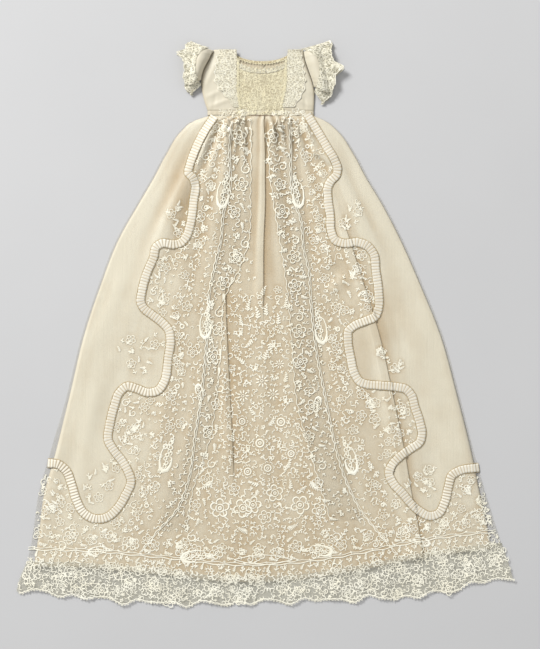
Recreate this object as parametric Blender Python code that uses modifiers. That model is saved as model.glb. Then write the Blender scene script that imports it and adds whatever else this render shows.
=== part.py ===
"""A christening gown of silk satin and net lace, laid out flat on its back.

The frame: +X to the gown's pictured right, +Y from the hem towards the neck, +Z up. The origin is at
the centre of the gown's bounding box, on the surface that it lies on. All sizes are in metres.

The back panels lie flat on the surface and the front panels lie on them, with a 0.3 mm gap where two
pieces meet. The front skirt is gathered at the waist into ridges that fan out and fade towards the
hem, and it laps over itself in three long folds.
"""

import collections
import math

import bmesh
import bpy
import numpy as np
from mathutils import Vector
from mathutils.bvhtree import BVHTree

# ---------------------------------------------------------------- driving sizes
GAP = 0.0003
LAID_ON = 0.0006  # what follows a folded panel's points stands this far off it
EDGE_CLEARANCE = 0.0012  # how far the net passes outside a fold's edge
NET_WALL = 0.0010
SATIN_WALL = 0.0012
LINED_WALL = 0.0020
RIBBON_WALL = 0.0022
WAIST_Y = 0.3720
HEM_LACE_HEAD = 0.018  # the lace starts this far above the satin's hem
PUFF = 0.0025  # how far air lifts the front skirt at the waist
BODICE_RISE = 0.0030
SLEEVE_HEIGHT = 0.022
RIBBON_WIDTH = 0.015
PUFF_FADES_AT = 0.45  # shares of the length from the waist
GATHERS_HOLD_TO = 0.12
LAP_OPENS_OVER = 0.12
LAP_CLOSES_OVER = 0.14
BERTHA_RUFFLE = 0.0016  # half the height of each frill's waves, and how many there are
BERTHA_WAVES = 7
NECK_RUFFLE = 0.0008
NECK_WAVES = 10
SILK_ROUGHNESS = 0.45
LACE_ROUGHNESS = 0.85

# How far round each point the pieces below are looked at, across and along.
HEM_LACE_REACH = (0.022, 0.010)
RIBBON_REACH = (0.015, 0.015)
BAND_REACH = (0.012, 0.012)
BERTHA_REACH = (0.014, 0.006)
NECK_FRILL_REACH = (0.006, 0.008)

SKY = 0.5  # heights are read by looking down from here

# The laid heights, from the surface up.
BACK_SATIN_Z = NET_WALL + GAP
FRONT_SATIN_Z = BACK_SATIN_Z + SATIN_WALL + GAP
LAP = SATIN_WALL + 0.0004  # the rise from one layer of a lapped fold to the next

# The outline of the skirt: where the satin and the net over it end at each height of the figure.
SKIRT_OUTLINE = {
    "y": (-0.520, -0.460, -0.428, -0.366, -0.311, -0.242, -0.129, -0.021, 0.066, 0.152, 0.217, 0.260,
          0.303, 0.3465, 0.362, 0.372),
    "satin_left": (-0.424, -0.417, -0.413, -0.404, -0.397, -0.378, -0.350, -0.324, -0.295, -0.261,
                   -0.224, -0.199, -0.176, -0.147, -0.128, -0.100),
    "satin_right": (0.420, 0.414, 0.410, 0.400, 0.388, 0.374, 0.346, 0.316, 0.281, 0.243, 0.209, 0.183,
                    0.160, 0.129, 0.110, 0.088),
    "net_left": (-0.452, -0.440, -0.427, -0.415, -0.407, -0.388, -0.355, -0.328, -0.299, -0.265,
                 -0.228, -0.203, -0.180, -0.150, -0.131, -0.102),
    "net_right": (0.462, 0.447, 0.437, 0.416, 0.399, 0.379, 0.350, 0.320, 0.285, 0.247, 0.213, 0.187,
                  0.164, 0.132, 0.113, 0.090),
}

# The hems: the satin's edge and the lace's edge, from left to right.
SATIN_HEM = {
    "x": (-0.440, -0.295, -0.187, -0.062, 0.054, 0.179, 0.295, 0.440),
    "y": (-0.438, -0.443, -0.453, -0.466, -0.463, -0.444, -0.421, -0.404),
}
LACE_HEM = {
    "x": (-0.450, -0.370, -0.290, -0.120, 0.045, 0.205, 0.305, 0.385, 0.455),
    "y": (-0.478, -0.487, -0.496, -0.504, -0.499, -0.494, -0.486, -0.466, -0.457),
}
SCALLOPS = 22
SCALLOP_DEPTH = 0.005

# Gathers of the front skirt: a ridge at each share of the width, its height at the waist, its half
# width as a share of the skirt's, and the share of the skirt's length where it has faded out.
GATHERS = {
    "share": (0.08, 0.17, 0.25, 0.33, 0.45, 0.57, 0.64, 0.72, 0.80, 0.92),
    "height": (0.0022, 0.0030, 0.0045, 0.0050, 0.0028, 0.0048, 0.0040, 0.0046, 0.0034, 0.0024),
    "half_width": (0.050, 0.035, 0.030, 0.032, 0.040, 0.030, 0.026, 0.032, 0.040, 0.050),
    "fades_at": (0.55, 0.40, 0.62, 0.50, 0.36, 0.48, 0.58, 0.42, 0.66, 0.50),
}

# Lapped folds, the part on the left lying over the part on the right: the share of the width where the
# upper edge runs, at the top and at the hem, the shares of the length where the fold starts and ends,
# and how far the layers lap.
LAPS = {
    "share_top": (0.354, 0.532, 0.808),
    "share_hem": (0.455, 0.470, 0.850),
    "starts_at": (0.33, 0.00, 0.22),
    "ends_at": (0.80, 0.46, 1.10),
    "depth": (0.012, 0.014, 0.017),
}
RISE_RUN = 0.014  # the upper layer of a lap climbs onto the lower ones over this length
LAP_KEEPS_LEFT = 0.050  # the shares of the width on each side of a lap's line that are the lap's own
LAP_KEEPS_RIGHT = 0.018
PANEL_COLUMNS = (8, 3, 8, 3)  # the steps between the skirt's edges and its laps
HEM_WIDTH = 0.83  # the folds narrow with the skirt, from their full depth at this width

Column = collections.namedtuple("Column", "lap line laid folded level seen")
Column.__doc__ = """A column of the front satin. It runs along line, a share of the width for each share of the
length. Where a lap is flat, it stands laid metres past that line; where it laps, it stands folded metres past
it and level layers up. The net lies on those that are seen."""

# The pleated ribbon's centre line on each side, from the waist to the side edge.
RIBBON_LEFT = (
    (-0.090, 0.370), (-0.108, 0.343), (-0.124, 0.311), (-0.135, 0.279), (-0.137, 0.270), (-0.128, 0.259),
    (-0.124, 0.246), (-0.127, 0.221), (-0.135, 0.169), (-0.140, 0.155), (-0.151, 0.143), (-0.163, 0.140),
    (-0.184, 0.142), (-0.194, 0.136), (-0.199, 0.117), (-0.211, 0.089), (-0.220, 0.056), (-0.222, 0.036),
    (-0.217, 0.026), (-0.202, 0.014), (-0.184, 0.000), (-0.172, -0.014), (-0.169, -0.031), (-0.173, -0.063),
    (-0.182, -0.110), (-0.190, -0.121), (-0.209, -0.126), (-0.230, -0.119), (-0.247, -0.115), (-0.260, -0.125),
    (-0.270, -0.150), (-0.278, -0.183), (-0.281, -0.211), (-0.272, -0.228), (-0.256, -0.249), (-0.246, -0.266),
    (-0.240, -0.285), (-0.250, -0.311), (-0.266, -0.336), (-0.283, -0.350), (-0.305, -0.353), (-0.324, -0.343),
    (-0.338, -0.319), (-0.347, -0.290), (-0.357, -0.266), (-0.371, -0.255), (-0.390, -0.253),
)
RIBBON_RIGHT = (
    (0.077, 0.374), (0.086, 0.359), (0.098, 0.339), (0.112, 0.315), (0.126, 0.291), (0.131, 0.276),
    (0.129, 0.265), (0.119, 0.254), (0.114, 0.244), (0.114, 0.221), (0.118, 0.191), (0.120, 0.163),
    (0.127, 0.148), (0.143, 0.142), (0.167, 0.144), (0.185, 0.137), (0.196, 0.123), (0.200, 0.093),
    (0.205, 0.056), (0.205, 0.026), (0.199, 0.011), (0.182, 0.003), (0.161, -0.006), (0.151, -0.015),
    (0.150, -0.031), (0.155, -0.064), (0.162, -0.092), (0.171, -0.106), (0.184, -0.111), (0.205, -0.113),
    (0.237, -0.116), (0.254, -0.120), (0.264, -0.131), (0.270, -0.151), (0.279, -0.179), (0.283, -0.200),
    (0.279, -0.215), (0.264, -0.226), (0.243, -0.241), (0.229, -0.256), (0.224, -0.270), (0.232, -0.290),
    (0.247, -0.306), (0.263, -0.325), (0.280, -0.340), (0.298, -0.348), (0.312, -0.344), (0.324, -0.323),
    (0.331, -0.294), (0.337, -0.275), (0.352, -0.266), (0.386, -0.261),
)
RIBBON_STEP = 0.021

# The lace bands that fall from the waist on each side of the front: the scalloped edge towards the
# middle and the edge away from it, at each height of the figure.
BAND_LEFT = {
    "y": (-0.374, -0.320, -0.284, -0.212, -0.122, -0.032, 0.048, 0.098, 0.140, 0.239, 0.366),
    "inner": (-0.140, -0.133, -0.124, -0.099, -0.085, -0.077, -0.070, -0.044, -0.030, -0.025, -0.024),
    "outer": (-0.187, -0.178, -0.166, -0.142, -0.119, -0.108, -0.099, -0.090, -0.081, -0.076, -0.066),
}
BAND_RIGHT = {
    "y": (-0.356, -0.284, -0.212, -0.140, -0.050, 0.040, 0.140, 0.239, 0.330, 0.366),
    "inner": (0.119, 0.097, 0.076, 0.058, 0.050, 0.043, 0.029, 0.013, 0.010, 0.022),
    "outer": (0.176, 0.155, 0.133, 0.115, 0.101, 0.088, 0.079, 0.068, 0.060, 0.056),
}

# The bodice: its side edges and armholes, and the seams of the lace front, at each height.
BODICE = {
    "y": (0.3813, 0.400, 0.415, 0.434, 0.454, 0.472, 0.4905),
    "side_left": (-0.1025, -0.1085, -0.1120, -0.1135, -0.109, -0.0998, -0.0905),
    "seam_left": (-0.047, -0.0515, -0.053, -0.053, -0.053, -0.053, -0.054),
    "seam_right": (0.034, 0.038, 0.0415, 0.0435, 0.044, 0.044, 0.046),
    "side_right": (0.0885, 0.0895, 0.0897, 0.0855, 0.0785, 0.0725, 0.0695),
}
STRAP_STARTS = (0.048, 0.058)  # the back's neckline turns up into the shoulder between these
FRONT_NECK = (0.474, 0.020)  # the neckline's height at its ends, and its drop between them
BACK_NECK = (0.484, 0.016)

# The lace frills that lie beside the lace front: their free edges, at each height.
BERTHA = {
    "y": (0.386, 0.4025, 0.4117, 0.430, 0.4545, 0.4905),
    "left": (-0.058, -0.0665, -0.0733, -0.0868, -0.0875, -0.0885),
    "right": (0.0515, 0.0640, 0.0690, 0.0736, 0.0708, 0.0645),
}
BERTHA_LAP = 0.004  # over the lace front, from the seam
FRILL_INSET = 0.006  # the neck frills end this far inside the seams, clear of the berthas

# Each sleeve: the heights of its armhole's two ends, its cuff's two ends as (x, y), and how far the lace
# frill reaches past the cuff. The upper end comes first.
SLEEVES = {
    "left": {"armhole": (0.489, 0.436), "cuff": ((-0.127, 0.496), (-0.137, 0.424)), "frill": 0.020},
    "right": {"armhole": (0.486, 0.424), "cuff": ((0.101, 0.494), (0.118, 0.410)), "frill": 0.022},
}
SLEEVE_CLEARANCE = 0.0006
# Along a sleeve, from the armhole to the cuff: how high and how long each ring is, as shares.
PUFF_RINGS = {
    "along": (0.0, 0.30, 0.62, 0.86, 1.0),
    "tall": (0.70, 1.0, 0.98, 0.80, 0.62),
    "long": (1.0, 1.06, 1.06, 1.0, 0.96),
}
FRILL_RINGS = {
    "along": (0.02, 0.45, 1.0),
    "tall": (0.60, 0.58, 0.50),
    "long": (0.97, 1.10, 1.24),
}
RING_POINTS = 16
FRILL_POINTS = 32
FRILL_WAVES = 8

COLOURS = {
    "satin": (0.72, 0.64, 0.49, 1.0),
    "net": (0.78, 0.76, 0.64, 1.0),
    "lace": (0.80, 0.77, 0.62, 1.0),
    "ribbon": (0.87, 0.84, 0.74, 1.0),
    "bodice": (0.80, 0.73, 0.56, 1.0),
}


# ---------------------------------------------------------------- curves and heights
def smooth_between(value, low, high):
    """0 below low, 1 above high, and an even S between them."""
    share = np.clip((value - low) / (high - low), 0.0, 1.0)
    return share * share * (3.0 - 2.0 * share)


def through(value, at, levels):
    """A smooth curve through the table's points: a cubic on each stretch, its slope at a point the mean
    of its neighbours' slopes."""
    at, levels = np.asarray(at, float), np.asarray(levels, float)
    slopes = np.gradient(levels, at)
    i = np.clip(np.searchsorted(at, value) - 1, 0, len(at) - 2)
    run = at[i + 1] - at[i]
    t = np.clip((value - at[i]) / run, 0.0, 1.0)
    return (levels[i] * (1 + 2 * t) * (1 - t) ** 2 + run * slopes[i] * t * (1 - t) ** 2
            + levels[i + 1] * t * t * (3 - 2 * t) + run * slopes[i + 1] * t * t * (t - 1))


def edge(column, y):
    return through(y, SKIRT_OUTLINE["y"], SKIRT_OUTLINE[column])


def share_across(x, y):
    """Where x lies between the satin's side edges at this height: 0 at the left edge, 1 at the right."""
    left = edge("satin_left", y)
    return (x - left) / (edge("satin_right", y) - left)


def at_share(left_column, right_column, share):
    """x as a function of y, for a column that keeps this share of the way from one edge to the other."""
    return lambda y: edge(left_column, y) + (edge(right_column, y) - edge(left_column, y)) * share


def satin_hem(x):
    return through(x, SATIN_HEM["x"], SATIN_HEM["y"])


def foot_of(x_at, above):
    """The height where a column, whose x is x_at(y), comes to the line this far above the satin's hem."""
    y = SATIN_HEM["y"][0]
    for _ in range(5):
        y = satin_hem(x_at(y)) + above
    return y


def share_down(x, y):
    """0 at the waist and 1 at the satin's hem, for this point's column."""
    across = share_across(x, y)
    return (WAIST_Y - y) / (WAIST_Y - foot_of(at_share("satin_left", "satin_right", across), 0.0))


def lap_line(lap, down):
    """The share of the width at which this lap's upper edge runs."""
    top, hem = LAPS["share_top"][lap], LAPS["share_hem"][lap]
    return top + (hem - top) * down


def lap_strength(lap, down):
    """0 where the fold is flat, 1 where it laps fully."""
    starts, ends = LAPS["starts_at"][lap], LAPS["ends_at"][lap]
    opening = smooth_between(down, starts, starts + LAP_OPENS_OVER) if starts > 0 else 1.0
    return opening * (1.0 - smooth_between(down, ends - LAP_CLOSES_OVER, ends))


def gathers(x, y):
    """How far the ridges and the air at the waist lift the front satin."""
    across, down = share_across(x, y), share_down(x, y)
    lift = PUFF * np.clip(1.0 - (2 * across - 1) ** 2, 0, 1) * (1.0 - smooth_between(down, 0.0, PUFF_FADES_AT))
    for share, height, half, fades in zip(*(GATHERS[c] for c in ("share", "height", "half_width", "fades_at"))):
        bump = np.exp(-(((across - share) / half) ** 2))
        lift = lift + height * bump * (1.0 - smooth_between(down, GATHERS_HOLD_TO, fades))
    return lift


def top_of(names, x, y):
    """The height of the topmost of these objects at each point, or of the surface where there is none."""
    found = np.zeros(np.broadcast(x, y).shape)
    for tree in (laid[name] for name in names):
        for place, (px, py) in enumerate(zip(np.ravel(x), np.ravel(y))):
            hit = tree.ray_cast(Vector((px, py, SKY)), Vector((0.0, 0.0, -1.0)))[0]
            if hit is not None:
                found.flat[place] = max(found.flat[place], hit.z)
    return found


def over(names, x, y, reach_x, reach_y):
    """The highest point of these objects within reach, so that what is laid on them clears their steps."""
    heights = [top_of(names, x, y)]
    for turn in range(8):
        angle = turn * math.pi / 4
        for part in (0.5, 1.0):
            dx, dy = part * reach_x * math.cos(angle), part * reach_y * math.sin(angle)
            heights.append(top_of(names, x + dx, y + dy))
    return np.maximum.reduce(heights)


# ---------------------------------------------------------------- making solids
def material_of(name):
    material = bpy.data.materials.get(name) or bpy.data.materials.new(name)
    material.use_nodes = True
    shader = material.node_tree.nodes["Principled BSDF"]
    shader.inputs["Base Color"].default_value = COLOURS[name]
    shader.inputs["Roughness"].default_value = SILK_ROUGHNESS if name in ("satin", "ribbon") else LACE_ROUGHNESS
    shader.inputs["Metallic"].default_value = 0.0
    return material


def add_object(name, mesh, colour):
    mesh.materials.append(material_of(colour))
    made = bpy.data.objects.new(name, mesh)
    gown.objects.link(made)
    mesh.shade_smooth()
    mesh.set_sharp_from_angle(angle=math.radians(40))
    return made


def keep_for_laying(made):
    """Remembers a finished object's shape, so that later pieces can be laid on it."""
    laid[made.name] = BVHTree.FromObject(made, bpy.context.evaluated_depsgraph_get())


def grid_mesh(x, y, z, closed=False):
    """A bmesh of triangles over points laid out in rows and columns; closed joins the last column to the
    first. Each cell is cut along the same diagonal, so that panels made from the same points nest."""
    grid = bmesh.new()
    points = np.stack(np.broadcast_arrays(x, y, z), axis=-1)
    rows, columns = points.shape[:2]
    verts = [[grid.verts.new(point) for point in row] for row in points]
    for row in range(rows - 1):
        for column in range(columns if closed else columns - 1):
            beside = (column + 1) % columns
            grid.faces.new((verts[row][column], verts[row][beside], verts[row + 1][beside]))
            grid.faces.new((verts[row][column], verts[row + 1][beside], verts[row + 1][column]))
    return grid


def laid_sheet(name, x, y, under, wall, colour):
    """A cloth wall over a grid of points, under being its lower surface, with a vertical thickness."""
    grid = grid_mesh(x, y, under)
    raised = bmesh.ops.extrude_face_region(grid, geom=grid.faces[:])
    lifted = [part for part in raised["geom"] if isinstance(part, bmesh.types.BMVert)]
    bmesh.ops.translate(grid, verts=lifted, vec=(0.0, 0.0, wall))
    bmesh.ops.recalc_face_normals(grid, faces=grid.faces[:])
    mesh = bpy.data.meshes.new(name)
    grid.to_mesh(mesh)
    grid.free()
    keep_for_laying(add_object(name, mesh, colour))


def folded_sheet(name, x, y, z, wall, colour, closed=False, offset=0.0):
    """A cloth wall on a surface that may fold back on itself, thickened along its normals."""
    grid = grid_mesh(x, y, z, closed)
    bmesh.ops.recalc_face_normals(grid, faces=grid.faces[:])
    mesh = bpy.data.meshes.new(name)
    grid.to_mesh(mesh)
    grid.free()
    made = add_object(name, mesh, colour)
    thicken = made.modifiers.new("wall", "SOLIDIFY")
    thicken.thickness = wall
    thicken.offset = offset
    thicken.use_even_offset = False
    keep_for_laying(made)


def between(edges_left, edges_right, shares):
    """Columns at these shares of the way from one edge to the other, for every row."""
    return edges_left[:, None] + (edges_right - edges_left)[:, None] * np.asarray(shares)[None, :]


# ---------------------------------------------------------------- the skirt
DOWN_ROWS = np.array([0.0, 0.025, 0.065, 0.12, 0.19, 0.28, 0.39, 0.52, 0.68, 0.84, 1.0])
BACK_COLUMNS = 25
NET_STEPS = 2  # columns on the net past each side edge of the satin


def make_back_panel(name, left_column, right_column, above_hem, under, wall, colour):
    """A flat back panel between two of the outline's edges."""
    x_at = at_share(left_column, right_column, np.linspace(0, 1, BACK_COLUMNS)[None, :])
    y = WAIST_Y + (foot_of(x_at, above_hem) - WAIST_Y) * DOWN_ROWS[:, None]
    laid_sheet(name, x_at(y), y, np.full_like(y, under), wall, colour)


def lapped_columns():
    """The front satin's columns from left to right along the cloth: plain ones at even shares of the way
    between two laps, and each lap's own."""
    columns = []
    for panel, count in enumerate(PANEL_COLUMNS):
        before = panel - 1 if panel > 0 else None
        after = panel if panel < len(LAPS["depth"]) else None
        inner = range(0 if before is None else 1, count + (1 if after is None else 0))
        for step in inner:
            columns.append(plain_column(before, after, step / count))
        if after is not None:
            columns += lap_columns(after)
    return columns


def plain_column(before, after, part):
    """A column this part of the way from the lap before it to the lap after it."""
    def line(down):
        left = 0.0 if before is None else lap_line(before, down) + LAP_KEEPS_RIGHT
        right = 1.0 if after is None else lap_line(after, down) - LAP_KEEPS_LEFT
        return left + (right - left) * part + 0.0 * down

    return Column(None, line, 0.0, 0.0, 0.0, True)


def lap_columns(lap):
    """A lap's columns, in the order in which they follow each other along the cloth."""
    depth = LAPS["depth"][lap]
    turn = LAP / 2
    laid_at = (-depth - RISE_RUN, -depth - 0.005, -0.004, -0.0026, -0.001, 0.001, 0.0026, 0.004, 0.008)
    folded_at = (-depth - RISE_RUN, -depth - 0.003, -turn, 0.0, -turn, turn - depth, -depth, turn - depth, 0.005)
    levels = (0.0, 2.0, 2.0, 1.5, 1.0, 1.0, 0.5, 0.0, 0.0)
    seen = (True, True, True, True, False, False, False, False, True)
    return [Column(lap, lambda down: lap_line(lap, down), *facts)
            for facts in zip(laid_at, folded_at, levels, seen)]


def column_on_satin(column, above_hem=0.0):
    """x, y and the middle of the satin's height along one column, its last point this far above the hem.
    A lap's columns all take the lift at the lap's edge, so that its layers stay parallel."""
    def strength(down):
        return 0.0 * down if column.lap is None else lap_strength(column.lap, down)

    def x_at(y, down):
        shift = column.laid + (column.folded - column.laid) * np.clip(2 * strength(down) - 1, 0, 1)
        narrow = (edge("satin_right", y) - edge("satin_left", y)) / HEM_WIDTH
        return at_share("satin_left", "satin_right", column.line(down))(y) + shift * narrow

    hem = foot_of(lambda y: x_at(y, 1.0), 0.0)
    y = WAIST_Y + (hem - WAIST_Y) * DOWN_ROWS
    y[-1] = foot_of(lambda y: x_at(y, 1.0), above_hem)
    down = (WAIST_Y - y) / (WAIST_Y - hem)
    lifted = gathers(at_share("satin_left", "satin_right", column.line(down))(y), y)
    middle = FRONT_SATIN_Z + SATIN_WALL / 2 + lifted
    return x_at(y, down), y, middle + column.level * LAP * np.clip(2 * strength(down), 0, 1)


def make_skirt_front():
    x, y, z = (np.array(rows).T for rows in zip(*(column_on_satin(column) for column in lapped_columns())))
    folded_sheet("skirt_front", x, y, z, SATIN_WALL, "satin")


def make_overskirt_front():
    """The net over the satin: made from the satin's seen columns, moved out, with more past its sides."""
    columns = []
    for column in lapped_columns():
        if column.level == 1.5:  # the fold's edge, which the net passes outside
            column = column._replace(folded=EDGE_CLEARANCE, level=2.0)
        if column.seen:
            columns.append(column_on_satin(column, HEM_LACE_HEAD))
    x, y, middle = (np.array(rows).T for rows in zip(*columns))
    under = middle + SATIN_WALL / 2 + LAID_ON
    rows_left, rows_right = y[:, :1], y[:, -1:]
    net_left, net_right = edge("net_left", rows_left), edge("net_right", rows_right)
    steps = np.arange(NET_STEPS) / NET_STEPS
    x = np.hstack([net_left + (x[:, :1] - net_left) * steps, x,
                   x[:, -1:] + (net_right - x[:, -1:]) * (1 - steps[::-1])])
    y = np.hstack([np.repeat(rows_left, NET_STEPS, axis=1), y, np.repeat(rows_right, NET_STEPS, axis=1)])
    y[-1] = satin_hem(x[-1]) + HEM_LACE_HEAD
    low = np.full((len(under), NET_STEPS), NET_WALL + GAP)
    low[:, 1:] = under.min() - SATIN_WALL
    under = np.hstack([low, under, low[:, ::-1]])
    laid_sheet("overskirt_front", x, y, under, NET_WALL, "net")


def make_hem_lace(name, front):
    """The lace flounce below the net: its head runs along the net's foot, and its edge is scalloped."""
    share = np.linspace(0, 1, 2 * SCALLOPS + 1)
    x_at = at_share("net_left", "net_right", share)
    head = foot_of(x_at, HEM_LACE_HEAD - GAP)
    wave = SCALLOP_DEPTH * np.abs(np.sin(math.pi * SCALLOPS * share))
    foot = through(x_at(LACE_HEM["y"][0]), LACE_HEM["x"], LACE_HEM["y"]) - wave + SCALLOP_DEPTH / 2
    past_hem = foot_of(x_at, -0.003)
    y = np.stack([head, past_hem, past_hem - 0.011, foot])
    x = x_at(y)
    if front:
        under = over(("skirt_front", "hem_lace_back"), x, y, *HEM_LACE_REACH) + LAID_ON
    else:
        under = np.zeros_like(x)
    laid_sheet(name, x, y, under, NET_WALL, "lace")


def spaced_route(points, step):
    """Points about a step apart on a smooth curve through the route's own points."""
    points = np.asarray(points, float)
    along = np.concatenate([[0.0], np.cumsum(np.linalg.norm(np.diff(points, axis=0), axis=1))])
    at = np.linspace(0.0, along[-1], int(round(along[-1] / step)) + 1)
    return np.stack([through(at, along, points[:, k]) for k in (0, 1)], axis=1)


def make_ribbon(name, points):
    """The pleated ribbon, laid on the net along its route."""
    line = spaced_route(points, RIBBON_STEP)
    run = np.gradient(line, axis=0)
    run /= np.linalg.norm(run, axis=1)[:, None]
    sideways = np.stack([-run[:, 1], run[:, 0]], axis=1) * RIBBON_WIDTH / 2
    x = np.stack([line[:, 0] - sideways[:, 0], line[:, 0] + sideways[:, 0]], axis=1)
    y = np.stack([line[:, 1] - sideways[:, 1], line[:, 1] + sideways[:, 1]], axis=1)
    under = over(("overskirt_front",), x, y, *RIBBON_REACH) + LAID_ON
    laid_sheet(name, x, y, under, RIBBON_WALL, "ribbon")


def make_lace_band(name, table):
    """A lace band that falls from the waist, wider towards the hem."""
    y = np.linspace(table["y"][-1], table["y"][0], 17)
    inner, outer = through(y, table["y"], table["inner"]), through(y, table["y"], table["outer"])
    x = between(inner, outer, (0.0, 0.33, 0.66, 1.0))
    rows = np.repeat(y[:, None], x.shape[1], axis=1)
    laid_sheet(name, x, rows, over(("overskirt_front",), x, rows, *BAND_REACH) + LAID_ON, NET_WALL, "lace")


# ---------------------------------------------------------------- the bodice
def bodice_edge(column, y):
    return through(y, BODICE["y"], BODICE[column])


def bodice_rise(x, y):
    """How far the front of the bodice stands off its back: most in the middle, nothing at the sides."""
    left, right = bodice_edge("side_left", y), bodice_edge("side_right", y)
    across = np.clip(2 * (x - left) / (right - left) - 1, -1, 1)
    return BODICE_RISE * (1.0 - across ** 4)


def neck_line(x, neck):
    """The height of a round neckline at x, from one seam of the lace front to the other."""
    ends, drop = neck
    left, right = bodice_edge("seam_left", ends), bodice_edge("seam_right", ends)
    across = np.clip(2 * (x - left) / (right - left) - 1, -1, 1)
    return ends - drop * (1.0 - across ** 2) ** 0.6


def make_bodice_side(name, outer, inner, clear):
    """A satin side front, from the side edge to the seam of the lace front."""
    y = np.linspace(BODICE["y"][0], BODICE["y"][-1], 10)
    x = between(bodice_edge(outer, y), bodice_edge(inner, y) + clear, (0.0, 0.25, 0.5, 0.75, 1.0))
    rows = np.repeat(y[:, None], x.shape[1], axis=1)
    laid_sheet(name, x, rows, LINED_WALL + GAP + bodice_rise(x, rows), LINED_WALL, "bodice")


def make_plastron():
    """The lace front, between its two seams and up to the neckline."""
    shares = np.linspace(0, 1, 13)
    y0 = BODICE["y"][0]
    rows = []
    for part in np.linspace(0, 1, 7):
        y = np.full(len(shares), y0 + (FRONT_NECK[0] - y0) * part)
        for _ in range(4):
            left, right = bodice_edge("seam_left", y) + GAP / 2, bodice_edge("seam_right", y) - GAP / 2
            x = left + (right - left) * shares
            y = y0 + (neck_line(x, FRONT_NECK) - y0) * part
        rows.append((x, y))
    x, y = (np.array([row[i] for row in rows]) for i in (0, 1))
    laid_sheet("plastron", x, y, LINED_WALL + GAP + bodice_rise(x, y), LINED_WALL, "lace")


def make_back_half(name, outer, side):
    """A half of the back bodice, from the centre-back opening to the side, with its shoulder."""
    centre = side * GAP / 2
    y0, y1 = BODICE["y"][0], BODICE["y"][-1]
    shares = np.linspace(0, 1, 9)
    rows = []
    for part in np.linspace(0, 1, 8):
        y = np.full(len(shares), y0 + (y1 - y0) * part)
        for _ in range(3):
            x = centre + (bodice_edge(outer, y) - centre) * shares
            neck = neck_line(x, BACK_NECK)
            shoulder = smooth_between(side * x, *STRAP_STARTS)
            y = y0 + (neck + (y1 - neck) * shoulder - y0) * part
        rows.append((x, y))
    x, y = (np.array([row[i] for row in rows]) for i in (0, 1))
    laid_sheet(name, x, y, np.zeros_like(x), LINED_WALL, "bodice")


def make_bertha(name, side_front, seam, free_edge, side):
    """A ruffled lace frill that lies on the side front, beside the lace front."""
    y = np.linspace(BERTHA["y"][0], BERTHA["y"][-1], 15)
    x = between(bodice_edge(seam, y) - side * BERTHA_LAP, through(y, BERTHA["y"], BERTHA[free_edge]),
                (0.0, 0.5, 1.0))
    rows = np.repeat(y[:, None], x.shape[1], axis=1)
    ruffle = BERTHA_RUFFLE * (1 - np.cos(2 * math.pi * BERTHA_WAVES * np.linspace(0, 1, len(y))))
    lift = ruffle[:, None] * np.array([0.0, 0.55, 1.0])[None, :]
    base = over(("plastron", side_front), x, rows, *BERTHA_REACH)
    laid_sheet(name, x, rows, base + GAP + lift, NET_WALL, "lace")


def make_neck_frill(name, panels, neck, width, overhang):
    """The lace along the neckline, its free edge standing over it."""
    columns = 21
    left = bodice_edge("seam_left", neck[0]) + FRILL_INSET
    right = bodice_edge("seam_right", neck[0]) - FRILL_INSET
    x = np.repeat(np.linspace(left, right, columns)[None, :], 3, axis=0)
    top = neck_line(x[0], neck) + overhang
    y = np.stack([top - width, top - width / 2, top])
    wave = NECK_RUFFLE * (1 - np.cos(2 * math.pi * NECK_WAVES * np.linspace(0, 1, columns)))
    lift = np.array([0.0, 0.5, 1.0])[:, None] * wave[None, :]
    base = over(panels, x, y, *NECK_FRILL_REACH) + GAP
    laid_sheet(name, x, y, base + lift, NET_WALL, "lace")


# ---------------------------------------------------------------- waist and sleeves
def make_waistbands():
    y = np.array([WAIST_Y + 2 * GAP, 0.3765, BODICE["y"][0] - GAP])
    ends = [np.full(3, bodice_edge(column, BODICE["y"][0])) for column in ("side_left", "side_right")]
    x = between(*ends, np.linspace(0, 1, 11))
    rows = np.repeat(y[:, None], x.shape[1], axis=1)
    laid_sheet("waistband_back", x, rows, np.zeros_like(x), LINED_WALL, "satin")
    rise = bodice_rise(x, np.full_like(x, BODICE["y"][0]))
    laid_sheet("waistband_front", x, rows, LINED_WALL + GAP + rise, LINED_WALL + 0.0006, "satin")


def loop_shape(points, squareness):
    """Round a flattened tube: how far along it each point is, -1 to 1, and how far up, 0 to 1."""
    angle = np.linspace(0, 2 * math.pi, points, endpoint=False)
    along = np.sign(np.cos(angle)) * np.abs(np.cos(angle)) ** squareness
    up = np.sign(np.sin(angle)) * np.abs(np.sin(angle)) ** squareness
    return along, (1 + up) / 2


def on_line(ends, along):
    """The points between two ends, along running from -1 at the second to 1 at the first."""
    upper, lower = np.asarray(ends)
    return (upper + lower) / 2 + np.multiply.outer(along, (upper - lower) / 2)


def make_sleeve(name, facts, side_column, side):
    """A short puffed sleeve, from the armhole to the cuff, open at both ends."""
    along, up = loop_shape(RING_POINTS, 0.62)
    arm_y = on_line(facts["armhole"], along)
    arm_x = bodice_edge(side_column, arm_y) + side * SLEEVE_CLEARANCE
    loops = []
    for share, tall, long in zip(*PUFF_RINGS.values()):
        cuff = on_line(facts["cuff"], along * long)
        x = arm_x + (cuff[:, 0] - arm_x) * share
        y = arm_y + (cuff[:, 1] - arm_y) * share
        loops.append((x, y, SLEEVE_HEIGHT * tall * up))
    x, y, z = (np.array([loop[i] for loop in loops]) for i in range(3))
    folded_sheet(name, x, y, z, SATIN_WALL, "bodice", closed=True, offset=-1.0)


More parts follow.
